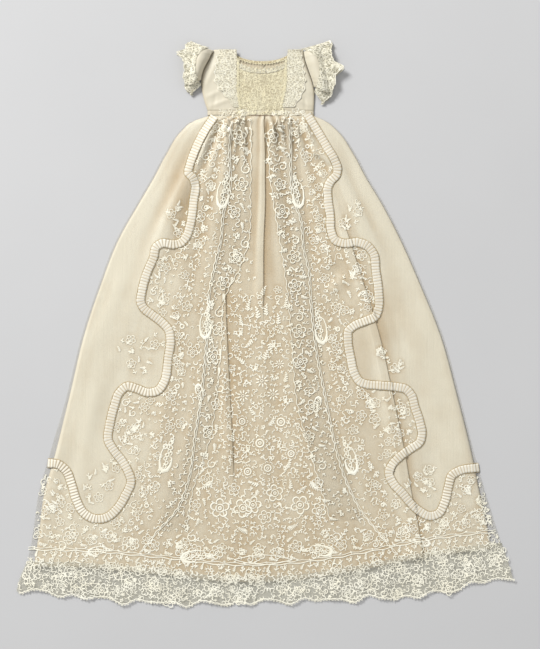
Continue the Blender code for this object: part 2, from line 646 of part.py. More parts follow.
def make_cuff_frill(name, facts, side):
    """The gathered lace at a cuff, which flares out past it in waves."""
    wave = np.cos(2 * math.pi * FRILL_WAVES * np.arange(FRILL_POINTS) / FRILL_POINTS)
    along, up = loop_shape(FRILL_POINTS, 0.8)
    loops = []
    for share, tall, long in zip(*FRILL_RINGS.values()):
        plan = on_line(facts["cuff"], along * long)
        x = plan[:, 0] + side * (facts["frill"] * share + 0.0035 * wave * share)
        z = (SLEEVE_HEIGHT * tall + 0.0022 * (wave + 1.0) * share) * up
        loops.append((x, plan[:, 1], z))
    x, y, z = (np.array([loop[i] for loop in loops]) for i in range(3))
    folded_sheet(name, x, y, z, NET_WALL, "lace", closed=True, offset=-1.0)


# ---------------------------------------------------------------- building
for old in list(bpy.data.objects):
    bpy.data.objects.remove(old)
laid = {}
gown = bpy.data.collections.new("christening_gown")
bpy.context.scene.collection.children.link(gown)

make_back_panel("overskirt_back", "net_left", "net_right", HEM_LACE_HEAD, 0.0, NET_WALL, "net")
make_back_panel("skirt_back", "satin_left", "satin_right", 0.0, BACK_SATIN_Z, SATIN_WALL, "satin")
make_skirt_front()
make_overskirt_front()
make_hem_lace("hem_lace_back", front=False)
make_hem_lace("hem_lace_front", front=True)
make_lace_band("lace_band_left", BAND_LEFT)
make_lace_band("lace_band_right", BAND_RIGHT)
make_ribbon("ribbon_left", RIBBON_LEFT)
make_ribbon("ribbon_right", RIBBON_RIGHT)
make_waistbands()
make_back_half("bodice_back_left", "side_left", -1)
make_back_half("bodice_back_right", "side_right", 1)
make_bodice_side("bodice_side_left", "side_left", "seam_left", -GAP / 2)
make_bodice_side("bodice_side_right", "side_right", "seam_right", GAP / 2)
make_plastron()
make_bertha("bertha_left", "bodice_side_left", "seam_left", "left", -1)
make_bertha("bertha_right", "bodice_side_right", "seam_right", "right", 1)
make_neck_frill("neck_frill_front", ("plastron",), FRONT_NECK, 0.012, 0.002)
make_neck_frill("neck_frill_back", ("bodice_back_left", "bodice_back_right"), BACK_NECK, 0.006, 0.002)
for side_name, sign in (("left", -1), ("right", 1)):
    make_sleeve(f"sleeve_{side_name}", SLEEVES[side_name], f"side_{side_name}", sign)
    make_cuff_frill(f"cuff_frill_{side_name}", SLEEVES[side_name], sign)
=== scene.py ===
# %% [markdown]
# # A christening gown of satin and lace, laid out flat
# The real gown is a plain silk skirt with a skirt of lace net over it, gathered into a tiny bodice with
# puffed sleeves. A pleated ribbon meanders down each side. The solid model gives the sizes and the place
# of every sewn piece, so this lesson starts by loading it, and then makes each piece again as thin cloth.

# %% The frame that every piece is fitted to
import math

import bpy
import numpy as np
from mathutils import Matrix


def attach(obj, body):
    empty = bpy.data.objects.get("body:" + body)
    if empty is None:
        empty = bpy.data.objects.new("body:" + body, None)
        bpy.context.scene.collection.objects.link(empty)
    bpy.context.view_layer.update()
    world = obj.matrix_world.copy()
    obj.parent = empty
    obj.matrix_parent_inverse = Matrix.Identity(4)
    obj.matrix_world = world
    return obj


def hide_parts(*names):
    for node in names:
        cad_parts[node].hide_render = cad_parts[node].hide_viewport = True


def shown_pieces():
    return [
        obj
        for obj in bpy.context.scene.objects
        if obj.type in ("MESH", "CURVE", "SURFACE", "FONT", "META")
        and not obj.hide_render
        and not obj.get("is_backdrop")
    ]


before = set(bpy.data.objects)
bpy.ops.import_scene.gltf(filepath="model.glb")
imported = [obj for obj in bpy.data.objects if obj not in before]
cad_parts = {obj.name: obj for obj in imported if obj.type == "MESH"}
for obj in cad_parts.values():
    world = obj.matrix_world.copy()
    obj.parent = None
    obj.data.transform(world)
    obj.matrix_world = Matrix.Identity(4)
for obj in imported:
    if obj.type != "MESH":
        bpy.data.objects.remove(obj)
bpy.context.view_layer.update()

print(len(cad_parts), "solids to dress")

# %% [markdown]
# ## The camera, the light and the floor
# The gown lies on a pale floor and is looked at from straight above. A camera far away with a narrow angle
# shows a flat thing without distortion. One wide lamp from the upper left gives every thread a soft shadow
# on its lower right, and a pale world fills the rest.

# %% Camera, lamp, world and floor
VIEW_CENTRE = (0.0099, -0.0036)
VIEW_TALL = 1.168
CAMERA_HEIGHT = 4.0
LAMP_PLACE = (-3.2, 4.1, 4.5)
LAMP_SIZE = 1.9
LAMP_WATTS = 440.0
WORLD_LIGHT = 0.51
FLOOR_COLOUR = (0.575, 0.575, 0.577, 1.0)
FLOOR_HALF = 6.0
FLOOR_Z = -0.0004
FLOOR_WALL = 0.02

camera_data = bpy.data.cameras.new("camera")
camera_data.sensor_fit = "VERTICAL"
camera_data.angle = 2 * math.atan(VIEW_TALL / 2 / CAMERA_HEIGHT)
camera = bpy.data.objects.new("camera", camera_data)
camera.location = (*VIEW_CENTRE, CAMERA_HEIGHT)
bpy.context.scene.collection.objects.link(camera)
bpy.context.scene.camera = camera

lamp_data = bpy.data.lights.new("window", "AREA")
lamp_data.size = LAMP_SIZE
lamp_data.energy = LAMP_WATTS
lamp = bpy.data.objects.new("window", lamp_data)
lamp.location = LAMP_PLACE
lamp.rotation_euler = (-lamp.location).to_track_quat("-Z", "Y").to_euler()
bpy.context.scene.collection.objects.link(lamp)

world = bpy.data.worlds.new("soft room")
world.use_nodes = True
world.node_tree.nodes["Background"].inputs["Color"].default_value = (1.0, 1.0, 1.0, 1.0)
world.node_tree.nodes["Background"].inputs["Strength"].default_value = WORLD_LIGHT
bpy.context.scene.world = world
bpy.context.scene.view_settings.view_transform = "Standard"
print("camera", tuple(round(v, 3) for v in camera.location))

# %% [markdown]
# ## Helpers for node materials
# A material is a tree of nodes. One short helper adds a node, and sets or links its inputs in order, so
# that a finish reads as a few lines of sums. What several finishes share is a node group.

# %% Adding nodes
def put(tree, kind, *inputs, **settings):
    """Adds a node; its inputs are given in order, each a value, another node's socket, or None to skip."""
    node = tree.nodes.new("ShaderNode" + kind)
    for name, value in settings.items():
        setattr(node, name, value)
    for socket, value in zip(node.inputs, inputs):
        if isinstance(value, bpy.types.NodeSocket):
            tree.links.new(value, socket)
        elif value is not None:
            socket.default_value = value
    return node


def math_of(tree, operation, *values):
    return put(tree, "Math", *values, operation=operation).outputs[0]


def blend_of(tree, share, first, second):
    """A colour between two colours."""
    node = put(tree, "Mix", data_type="RGBA")
    for socket, value in zip((node.inputs[0], node.inputs[6], node.inputs[7]), (share, first, second)):
        if isinstance(value, bpy.types.NodeSocket):
            tree.links.new(value, socket)
        else:
            socket.default_value = value
    return node.outputs[2]


def levels_of(tree, value, low, high, to_low=0.0, to_high=1.0):
    """The value stretched from low..high to to_low..to_high, and held there."""
    return put(tree, "MapRange", value, low, high, to_low, to_high).outputs[0]


def new_group(name, inputs, outputs):
    tree = bpy.data.node_groups.new(name, "ShaderNodeTree")
    tree.interface.new_socket(name="Place", in_out="INPUT", socket_type="NodeSocketVector")
    for label, value in inputs.items():
        socket = tree.interface.new_socket(name=label, in_out="INPUT", socket_type="NodeSocketFloat")
        socket.default_value = value
    for label in outputs:
        tree.interface.new_socket(name=label, in_out="OUTPUT", socket_type="NodeSocketFloat")
    return tree, tree.nodes.new("NodeGroupInput").outputs, tree.nodes.new("NodeGroupOutput").inputs


print("node helpers ready")

# %% [markdown]
# ## What the cloths share
# Silk shows its weave and, more clearly, streaks along the warp where threads are thicker. Old silk is
# unevenly yellowed. Net is rows of tiny cells. A lace ground is net with dense curling figures. Each of
# these is a group that gives a mask or a height, and the materials below use them with their own values.

# %% Groups for weave, age, net and lace
def make_weave_group():
    """Height is the product of two sine waves, across and along; Streak is noise drawn out lengthwise."""
    tree, given, result = new_group("silk weave", {"Threads": 1700.0}, ("Height", "Streak"))
    turned = math_of(tree, "MULTIPLY", given["Threads"], math.pi)
    parts = put(tree, "SeparateXYZ", given["Place"]).outputs
    warp = math_of(tree, "SINE", math_of(tree, "MULTIPLY", parts[0], turned))
    weft = math_of(tree, "SINE", math_of(tree, "MULTIPLY", parts[1], turned))
    height = math_of(tree, "MULTIPLY_ADD", warp, math_of(tree, "MULTIPLY", weft, 0.5), 0.5)
    tree.links.new(height, result["Height"])
    drawn = put(tree, "VectorMath", given["Place"], (230.0, 9.0, 9.0), operation="MULTIPLY").outputs[0]
    streak = put(tree, "TexNoise", drawn, None, 1.0, 3.0, 0.6)
    tree.links.new(levels_of(tree, streak.outputs[0], 0.3, 0.7), result["Streak"])
    return tree


def make_age_group():
    """Mask is soft noise a few centimetres across, with smaller noise on it."""
    tree, given, result = new_group("uneven age", {"Scale": 15.0}, ("Mask",))
    cloud = put(tree, "TexNoise", given["Place"], None, given["Scale"], 4.0, 0.6)
    tree.links.new(levels_of(tree, cloud.outputs[0], 0.36, 0.66), result["Mask"])
    return tree


def make_net_group():
    """Mask is 1 on the threads, near the edges of a loose hexagon pattern, and 0 in the holes."""
    tree, given, result = new_group("net cells", {"Cells": 620.0, "Thread": 0.12}, ("Mask",))
    cells = put(tree, "TexVoronoi", given["Place"], None, given["Cells"], voronoi_dimensions="2D",
                feature="DISTANCE_TO_EDGE")
    cells.inputs["Randomness"].default_value = 0.45
    tree.links.new(math_of(tree, "LESS_THAN", cells.outputs[0], given["Thread"]), result["Mask"])
    return tree


def make_figure_group():
    """Mask is 1 on curling figures: the edges of warped cells, where a noise field bends their place."""
    tree, given, result = new_group("lace figure", {"Cells": 170.0, "Thread": 0.16}, ("Mask", "Relief"))
    bend = put(tree, "TexNoise", given["Place"], None, 240.0, 2.0, 0.5)
    bend_by = put(tree, "VectorMath", bend.outputs[1], (0.006, 0.006, 0.0), operation="MULTIPLY").outputs[0]
    place = put(tree, "VectorMath", given["Place"], bend_by, operation="ADD").outputs[0]
    cells = put(tree, "TexVoronoi", place, None, given["Cells"], voronoi_dimensions="2D",
                feature="DISTANCE_TO_EDGE")
    finer = math_of(tree, "MULTIPLY", given["Cells"], 2.3)
    small = put(tree, "TexVoronoi", place, None, finer, voronoi_dimensions="2D", feature="DISTANCE_TO_EDGE")
    near = math_of(tree, "MINIMUM", cells.outputs[0], math_of(tree, "MULTIPLY", small.outputs[0], 1.4))
    share = math_of(tree, "DIVIDE", near, given["Thread"])
    tree.links.new(levels_of(tree, share, 1.25, 0.75), result["Mask"])
    tree.links.new(levels_of(tree, share, 1.6, 0.0), result["Relief"])
    return tree


WEAVE, AGE, NET, FIGURE = make_weave_group(), make_age_group(), make_net_group(), make_figure_group()
print("groups:", [group.name for group in bpy.data.node_groups])

# %% [markdown]
# ## Materials
# Every cloth carries its place on the flat cloth as a UV map in metres, so that a weave keeps its scale on a
# puffed sleeve as well as on the flat skirt. A number on each point, called tan, says where the cloth is deeper
# in tone: partly painted shade, in folds, beside the laps and under the densest lace, and partly darker patches
# of tone.

# %% Finishes of silk
SILK = {
    "skirt satin": {"cream": (0.758, 0.705, 0.565), "tan": (0.52, 0.40, 0.245), "rough": 0.44, "sheen": 0.15},
    "bodice satin": {"cream": (0.705, 0.66, 0.53), "tan": (0.54, 0.43, 0.26), "rough": 0.40, "sheen": 0.15},
    "pleated ribbon": {"cream": (0.90, 0.865, 0.75), "tan": (0.45, 0.34, 0.18), "rough": 0.48, "sheen": 0.10},
}


# How far the finest relief stands out, in metres.
RELIEF = {"silk": 0.00012, "thread": 0.00015, "net": 0.0001, "lace": 0.0006}


def opaque(colour):
    return (*colour, 1.0)


def start_material(name, rough, sheen):
    material = bpy.data.materials.new(name)
    material.use_nodes = True
    tree = material.node_tree
    shader = tree.nodes["Principled BSDF"]
    shader.inputs["Roughness"].default_value = rough
    shader.inputs["Sheen Weight"].default_value = sheen
    shader.inputs["Sheen Roughness"].default_value = 0.4
    shader.inputs["Specular IOR Level"].default_value = 0.35
    place = put(tree, "UVMap", uv_map="cloth").outputs[0]
    return material, tree, shader, place


def bump_into(tree, shader, height, metres):
    bump = put(tree, "Bump")
    bump.inputs["Strength"].default_value = 1.0
    bump.inputs["Distance"].default_value = metres
    tree.links.new(height, bump.inputs["Height"])
    tree.links.new(bump.outputs[0], shader.inputs["Normal"])


def group_in(tree, group, place, **values):
    node = tree.nodes.new("ShaderNodeGroup")
    node.node_tree = group
    tree.links.new(place, node.inputs["Place"])
    for name, value in values.items():
        node.inputs[name].default_value = value
    return node.outputs


def silk_material(name):
    facts = SILK[name]
    material, tree, shader, place = start_material(name, facts["rough"], facts["sheen"])
    weave, age = group_in(tree, WEAVE, place), group_in(tree, AGE, place)
    tan = put(tree, "Attribute", attribute_name="tan").outputs["Fac"]
    depth = math_of(tree, "MULTIPLY_ADD", age["Mask"], 0.22, tan)
    depth = math_of(tree, "MULTIPLY_ADD", weave["Streak"], 0.07, depth)
    share = math_of(tree, "MINIMUM", depth, 1.0)
    colour = blend_of(tree, share, opaque(facts["cream"]), opaque(facts["tan"]))
    tree.links.new(colour, shader.inputs["Base Color"])
    tree.links.new(levels_of(tree, weave["Streak"], 0.0, 1.0, facts["rough"] - 0.06, facts["rough"] + 0.08),
                   shader.inputs["Roughness"])
    half_weave = math_of(tree, "MULTIPLY", weave["Height"], 0.5)
    height = math_of(tree, "MULTIPLY_ADD", weave["Streak"], 1.3, half_weave)
    bump_into(tree, shader, height, RELIEF["silk"])
    return material


# %% [markdown]
# Thread is matt cotton. Net is mostly holes, so its finish is nearly clear between the threads. Dense lace
# is drawn inside the finish: pale figures on a darker mesh, which stand out a little.

# %% Finishes of net and lace
THREAD = {
    "lace thread": {"pale": (0.97, 0.945, 0.82), "deep": (0.88, 0.82, 0.63)},
    "golden lace thread": {"pale": (0.90, 0.85, 0.64), "deep": (0.78, 0.68, 0.42)},
    # The ribbon edge thread has the colour of a painted shadow line along the ribbons' edges.
    "ribbon shadow thread": {"pale": (0.60, 0.47, 0.26), "deep": (0.46, 0.34, 0.16)},
    # The waist stitching has the colour of a painted shadow between the bodice and the skirt.
    "waist shadow stitching": {"pale": (0.30, 0.15, 0.09), "deep": (0.16, 0.07, 0.04)},
}
GROUND = {
    "skirt net": {"colour": (0.76, 0.70, 0.54), "cells": 620.0, "thread": 0.10, "hole": 0.015, "line": 0.12},
    "band net": {"colour": (0.86, 0.77, 0.58), "cells": 620.0, "thread": 0.12, "hole": 0.01, "line": 0.07},
    "flounce net": {"colour": (0.86, 0.83, 0.69), "cells": 560.0, "thread": 0.14, "hole": 0.10, "line": 0.34},
}
FIGURED = {
    "frill lace": {"pale": (0.85, 0.81, 0.65), "ground": (0.60, 0.55, 0.39), "hole": 0.40, "cells": 150.0},
    "bertha lace": {"pale": (0.92, 0.88, 0.71), "ground": (0.79, 0.71, 0.52), "hole": 0.60, "cells": 170.0},
    "golden lace": {"pale": (0.84, 0.75, 0.50), "ground": (0.62, 0.49, 0.27), "hole": 0.85, "cells": 260.0},
    "plastron lace": {"pale": (0.82, 0.76, 0.55), "ground": (0.60, 0.51, 0.32), "hole": 1.0, "cells": 250.0},
}


def thread_material(name):
    """Cotton thread: matt, a little uneven in tone, with the twist of its strands as a fine bump."""
    facts = THREAD[name]
    material, tree, shader, _ = start_material(name, 0.75, 0.15)
    place = put(tree, "TexCoord").outputs["Object"]
    age = group_in(tree, AGE, place, Scale=26.0)
    twist = put(tree, "TexNoise", place, None, 2600.0, 2.0, 0.5).outputs[0]
    darker_patches = math_of(tree, "MULTIPLY_ADD", age["Mask"], 0.4, -0.12)
    depth = math_of(tree, "MULTIPLY_ADD", twist, 0.35, darker_patches)
    colour = blend_of(tree, depth, opaque(facts["pale"]), opaque(facts["deep"]))
    tree.links.new(colour, shader.inputs["Base Color"])
    bump_into(tree, shader, twist, RELIEF["thread"])
    return material


def net_material(name):
    """Open net: a faint film with threads round each cell, which let the silk show through."""
    facts = GROUND[name]
    material, tree, shader, place = start_material(name, 0.85, 0.1)
    cells = group_in(tree, NET, place, Cells=facts["cells"], Thread=facts["thread"])
    age = group_in(tree, AGE, place, Scale=14.0)
    deep = opaque([0.86 * value for value in facts["colour"]])
    colour = blend_of(tree, age["Mask"], opaque(facts["colour"]), deep)
    tree.links.new(colour, shader.inputs["Base Color"])
    alpha = levels_of(tree, cells["Mask"], 0.0, 1.0, facts["hole"], facts["line"])
    tree.links.new(alpha, shader.inputs["Alpha"])
    bump_into(tree, shader, cells["Mask"], RELIEF["net"])
    return material


def figured_material(name):
    """Dense lace: pale curling figures on a darker mesh, whose holes may let light through."""
    facts = FIGURED[name]
    material, tree, shader, place = start_material(name, 0.8, 0.15)
    figure = group_in(tree, FIGURE, place, Cells=facts["cells"])
    age = group_in(tree, AGE, place, Scale=22.0)
    darker_patches = math_of(tree, "MULTIPLY", age["Mask"], 0.45)
    pale = blend_of(tree, darker_patches, opaque(facts["pale"]), opaque(facts["ground"]))
    colour = blend_of(tree, figure["Mask"], opaque(facts["ground"]), pale)
    tree.links.new(colour, shader.inputs["Base Color"])
    if facts["hole"] < 1.0:
        tree.links.new(levels_of(tree, figure["Mask"], 0.0, 1.0, facts["hole"], 1.0), shader.inputs["Alpha"])
    bump_into(tree, shader, figure["Relief"], RELIEF["lace"])
    return material


def floor_material():
    material = bpy.data.materials.new("pale board")
    material.use_nodes = True
    tree = material.node_tree
    shader = tree.nodes["Principled BSDF"]
    shader.inputs["Roughness"].default_value = 0.9
    shader.inputs["Specular IOR Level"].default_value = 0.1
    place = put(tree, "TexCoord").outputs["Object"]
    age = group_in(tree, AGE, place, Scale=1.5)
    paler = opaque([1.03 * value for value in FLOOR_COLOUR[:3]])
    tree.links.new(blend_of(tree, age["Mask"], FLOOR_COLOUR, paler), shader.inputs["Base Color"])
    return material


materials = {name: silk_material(name) for name in SILK}
materials.update({name: thread_material(name) for name in THREAD})
materials.update({name: net_material(name) for name in GROUND})
materials.update({name: figured_material(name) for name in FIGURED})
print("materials:", sorted(materials))

# %% [markdown]
# ## Making cloth from a grid
# A sheet of cloth is a surface: a function of two parameters, worked out for a whole grid at once. Real
# cloth has two faces, so the grid is copied a fraction of a millimetre under itself, and the two are joined
# round the rim. The sign of the enclosed volume tells whether the faces point outwards.

# %% From grids to closed meshes
BODY = "root"
# How thick each cloth is, in metres.
WALLS = {"silk": 0.0005, "net": 0.0003, "back net": 0.0005, "band net": 0.0002, "bodice": 0.0006,
         "ribbon": 0.0004, "lace front": 0.0008, "frill": 0.0003, "puff": 0.0005}


def filled_mesh(name, points, face_groups):
    """A mesh from its points and from arrays of faces, each array with faces of one number of corners."""
    mesh = bpy.data.meshes.new(name)
    loops = np.concatenate([faces.reshape(-1) for faces in face_groups])
    sizes = np.concatenate([np.full(len(faces), faces.shape[1]) for faces in face_groups])
    mesh.vertices.add(len(points))
    mesh.vertices.foreach_set("co", np.ascontiguousarray(points, np.float32).reshape(-1))
    mesh.loops.add(len(loops))
    mesh.loops.foreach_set("vertex_index", np.ascontiguousarray(loops, np.int32))
    mesh.polygons.add(len(sizes))
    mesh.polygons.foreach_set("loop_start", np.concatenate([[0], np.cumsum(sizes)[:-1]]).astype(np.int32))
    mesh.update(calc_edges=True)
    return mesh


def mesh_from(name, points, quads):
    """A closed mesh of four-sided faces, turned inside out where its signed volume is negative."""
    corners = points[quads]
    a, b, c, d = (corners[:, i] for i in range(4))
    volume = (a * np.cross(b, c)).sum() + (a * np.cross(c, d)).sum()
    if volume < 0:
        quads = quads[:, ::-1]
    mesh = filled_mesh(name, points, [quads])
    mesh.validate()
    mesh.shade_smooth()
    return mesh


def normals_of(grid, closed=False):
    """Unit normals of a grid: the cross product of its two directions at each point."""
    if closed:
        across = np.roll(grid, -1, axis=1) - np.roll(grid, 1, axis=1)
    else:
        across = np.gradient(grid, axis=1)
    down = np.gradient(grid, axis=0)
    normal = np.cross(down, across)
    return normal / np.maximum(np.linalg.norm(normal, axis=-1, keepdims=True), 1e-12)


def add_piece(name, mesh, material, nodes=()):
    """Puts a mesh in the scene as a piece of the gown, with the solids that it stands for."""
    mesh.materials.append(materials[material])
    piece = bpy.data.objects.new(name, mesh)
    bpy.context.scene.collection.objects.link(piece)
    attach(piece, BODY)
    if nodes:
        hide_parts(*nodes)
    print(f"{name}: {sum(len(p.vertices) - 2 for p in mesh.polygons)} triangles")
    return piece


def cloth(name, grid, wall, material, nodes=(), flat_uv=None, tan=None, closed=False, flat=False):
    """Two faces of cloth a wall apart. flat moves the lower face straight down, else along the normals."""
    rows, columns = grid.shape[:2]
    way = np.array([0.0, 0.0, 1.0]) if flat else normals_of(grid, closed)
    under = grid - wall * way
    points = np.concatenate([grid.reshape(-1, 3), under.reshape(-1, 3)])
    wide = columns if closed else columns - 1
    row, column = np.meshgrid(np.arange(rows - 1), np.arange(wide), indexing="ij")
    beside = (column + 1) % columns
    top = np.stack([row * columns + column, (row + 1) * columns + column,
                    (row + 1) * columns + beside, row * columns + beside], -1).reshape(-1, 4)
    low = top[:, ::-1] + rows * columns
    if closed:
        ring = np.arange(columns)
        last = (rows - 1) * columns
        rims = [(ring, np.roll(ring, -1)), (last + np.roll(ring, -1), last + ring)]
    else:
        first, last = np.arange(columns), (rows - 1) * columns + np.arange(columns)
        left, right = np.arange(rows) * columns, np.arange(rows) * columns + columns - 1
        rims = [(first[:-1], first[1:]), (last[1:], last[:-1]),
                (left[1:], left[:-1]), (right[:-1], right[1:])]
    sides = [np.stack([a, b, b + rows * columns, a + rows * columns], -1) for a, b in rims]
    mesh = mesh_from(name, points, np.concatenate([top, low, *sides]))
    plan = grid[..., :2] if flat_uv is None else flat_uv
    plan = np.concatenate([plan.reshape(-1, 2)] * 2)
    owner = np.empty(len(mesh.loops), np.int32)
    mesh.loops.foreach_get("vertex_index", owner)
    mesh.uv_layers.new(name="cloth").data.foreach_set("uv", plan[owner].astype(np.float32).reshape(-1))
    tan = np.zeros(grid.shape[:2]) if tan is None else np.broadcast_to(tan, grid.shape[:2])
    shade = mesh.attributes.new("tan", "FLOAT", "POINT")
    shade.data.foreach_set("value", np.tile(tan.reshape(-1), 2).astype(np.float32))
    return add_piece(name, mesh, material, nodes)


def lay_floor():
    """The floor: one square plate, its top just under the gown."""
    levels, sides = (FLOOR_Z - FLOOR_WALL, FLOOR_Z), (-FLOOR_HALF, FLOOR_HALF)
    points = np.array([(x, y, z) for z in levels for y in sides for x in sides])
    quads = np.array([(0, 2, 3, 1), (4, 5, 7, 6), (0, 1, 5, 4), (2, 6, 7, 3), (0, 4, 6, 2), (1, 3, 7, 5)])
    mesh = mesh_from("floor", points, quads)
    mesh.shade_flat()
    mesh.materials.append(floor_material())
    floor = bpy.data.objects.new("floor", mesh)
    bpy.context.scene.collection.objects.link(floor)
    floor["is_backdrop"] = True


lay_floor()

# %% [markdown]
# ## The skirt's plan
# The outline, the hems, the gathers and the long lapped folds are the ones of the solid model, in metres,
# with +Y towards the neck. A smooth curve through each short table gives the edge at any height.

# %% The tables of the skirt
WAIST_Y = 0.3720
FRONT_TOP = 0.0040
NET_LIFT = 0.0005
SHARED_TABLES = {
    "outline": {
        "y": (-0.520, -0.460, -0.428, -0.366, -0.311, -0.242, -0.129, -0.021, 0.066, 0.152, 0.217, 0.260,
              0.303, 0.3465, 0.362, 0.372),
        "satin_left": (-0.424, -0.417, -0.413, -0.404, -0.397, -0.378, -0.350, -0.324, -0.295, -0.261,
                       -0.224, -0.199, -0.176, -0.147, -0.128, -0.100),
        "satin_right": (0.420, 0.414, 0.410, 0.400, 0.388, 0.374, 0.346, 0.316, 0.281, 0.243, 0.209, 0.183,
                        0.160, 0.129, 0.110, 0.088),
        "net_left": (-0.452, -0.440, -0.427, -0.415, -0.407, -0.388, -0.355, -0.328, -0.299, -0.265,
                     -0.228, -0.203, -0.180, -0.150, -0.131, -0.102),
        "net_right": (0.462, 0.447, 0.437, 0.416, 0.399, 0.379, 0.350, 0.320, 0.285, 0.247, 0.213, 0.187,
                      0.164, 0.132, 0.113, 0.090),
    },
    "satin hem": {
        "x": (-0.440, -0.295, -0.187, -0.062, 0.054, 0.179, 0.295, 0.440),
        "y": (-0.438, -0.443, -0.453, -0.466, -0.463, -0.444, -0.421, -0.404),
    },
    "lace hem": {
        "x": (-0.450, -0.370, -0.290, -0.120, 0.045, 0.205, 0.305, 0.385, 0.455),
        "y": (-0.478, -0.487, -0.496, -0.504, -0.499, -0.494, -0.486, -0.466, -0.457),
    },
}
# A ridge at each share of the width: its height at the waist, its half width as a share of the skirt's,
# and the share of the length where it has faded out.
GATHERS = {
    "share": (0.08, 0.17, 0.25, 0.33, 0.45, 0.57, 0.64, 0.72, 0.80, 0.92),
    "height": (0.0022, 0.0030, 0.0045, 0.0050, 0.0028, 0.0048, 0.0040, 0.0046, 0.0034, 0.0024),
    "half": (0.050, 0.035, 0.030, 0.032, 0.040, 0.030, 0.026, 0.032, 0.040, 0.050),
    "fades": (0.55, 0.40, 0.62, 0.50, 0.36, 0.48, 0.58, 0.42, 0.66, 0.50),
}
# Long folds where the part on the left lies over the part on the right.
LAPS = {
    "share_top": (0.354, 0.532, 0.808),
    "share_hem": (0.455, 0.470, 0.850),
    "starts": (0.33, 0.00, 0.22),
    "ends": (0.80, 0.46, 1.10),
    "depth": (0.012, 0.014, 0.017),
}
LAP_RISE = 0.0032
LAP_RUN = 0.014
LAP_ROUND = 0.0016
PUFF = 0.0025
HEM_WIDTH = 0.83
EDGE_ROUND = 0.007
EDGE_Z = 0.0021


def smooth_between(value, low, high):
    """0 below low, 1 above high, and an even S between them."""
    share = np.clip((value - low) / (high - low), 0.0, 1.0)
    return share * share * (3.0 - 2.0 * share)


def through(value, at, levels):
    """A smooth curve through a table: a cubic on each stretch, its slopes the means of their neighbours'."""
    at, levels = np.asarray(at, float), np.asarray(levels, float)
    slopes = np.gradient(levels, at)
    i = np.clip(np.searchsorted(at, value) - 1, 0, len(at) - 2)
    run = at[i + 1] - at[i]
    t = np.clip((value - at[i]) / run, 0.0, 1.0)
    return (levels[i] * (1 + 2 * t) * (1 - t) ** 2 + run * slopes[i] * t * (1 - t) ** 2
            + levels[i + 1] * t * t * (3 - 2 * t) + run * slopes[i + 1] * t * t * (t - 1))


def edge(column, y):
    """x of one of the outline's edges at height y."""
    return through(y, SHARED_TABLES["outline"]["y"], SHARED_TABLES["outline"][column])


def satin_hem(x):
    return through(x, SHARED_TABLES["satin hem"]["x"], SHARED_TABLES["satin hem"]["y"])


def lace_hem(x):
    return through(x, SHARED_TABLES["lace hem"]["x"], SHARED_TABLES["lace hem"]["y"])


def foot_of(x_at, above=0.0):
    """The height where a column, whose x is x_at(y), comes to the line this far above the satin's hem."""
    y = -0.45
    for _ in range(6):
        y = satin_hem(x_at(y)) + above
    return y


def width_at(y):
    return edge("satin_right", y) - edge("satin_left", y)


def between_edges(left_column, right_column, share):
    """x as a function of y, at a share of the way from one edge of the outline to another."""
    def x_at(y):
        left, right = edge(left_column, y), edge(right_column, y)
        return left + (right - left) * share
    return x_at


def at_share(share):
    return between_edges("satin_left", "satin_right", share)


FOOT_SHARES = np.linspace(-0.15, 1.15, 131)
FOOT_HEIGHTS = foot_of(at_share(FOOT_SHARES))


def across_and_down(x, y):
    """Where a point lies on the skirt: its share of the width, and its share of the length from the waist."""
    across = (x - edge("satin_left", y)) / width_at(y)
    down = (WAIST_Y - y) / (WAIST_Y - np.interp(across, FOOT_SHARES, FOOT_HEIGHTS))
    return across, down


def lap_route(lap):
    """The upper edge of a lap, as x and the share of the length for each y."""
    down = np.linspace(0.0, 1.0, 161)
    top, hem = LAPS["share_top"][lap], LAPS["share_hem"][lap]
    y = WAIST_Y + (foot_of(at_share(hem)) - WAIST_Y) * down
    x = at_share(top + (hem - top) * down)(y)
    return y[::-1], x[::-1], down[::-1]


LAP_ROUTES = [lap_route(lap) for lap in range(len(LAPS["depth"]))]
print("the front is", round(float(width_at(-0.45)), 3), "m wide at the hem")
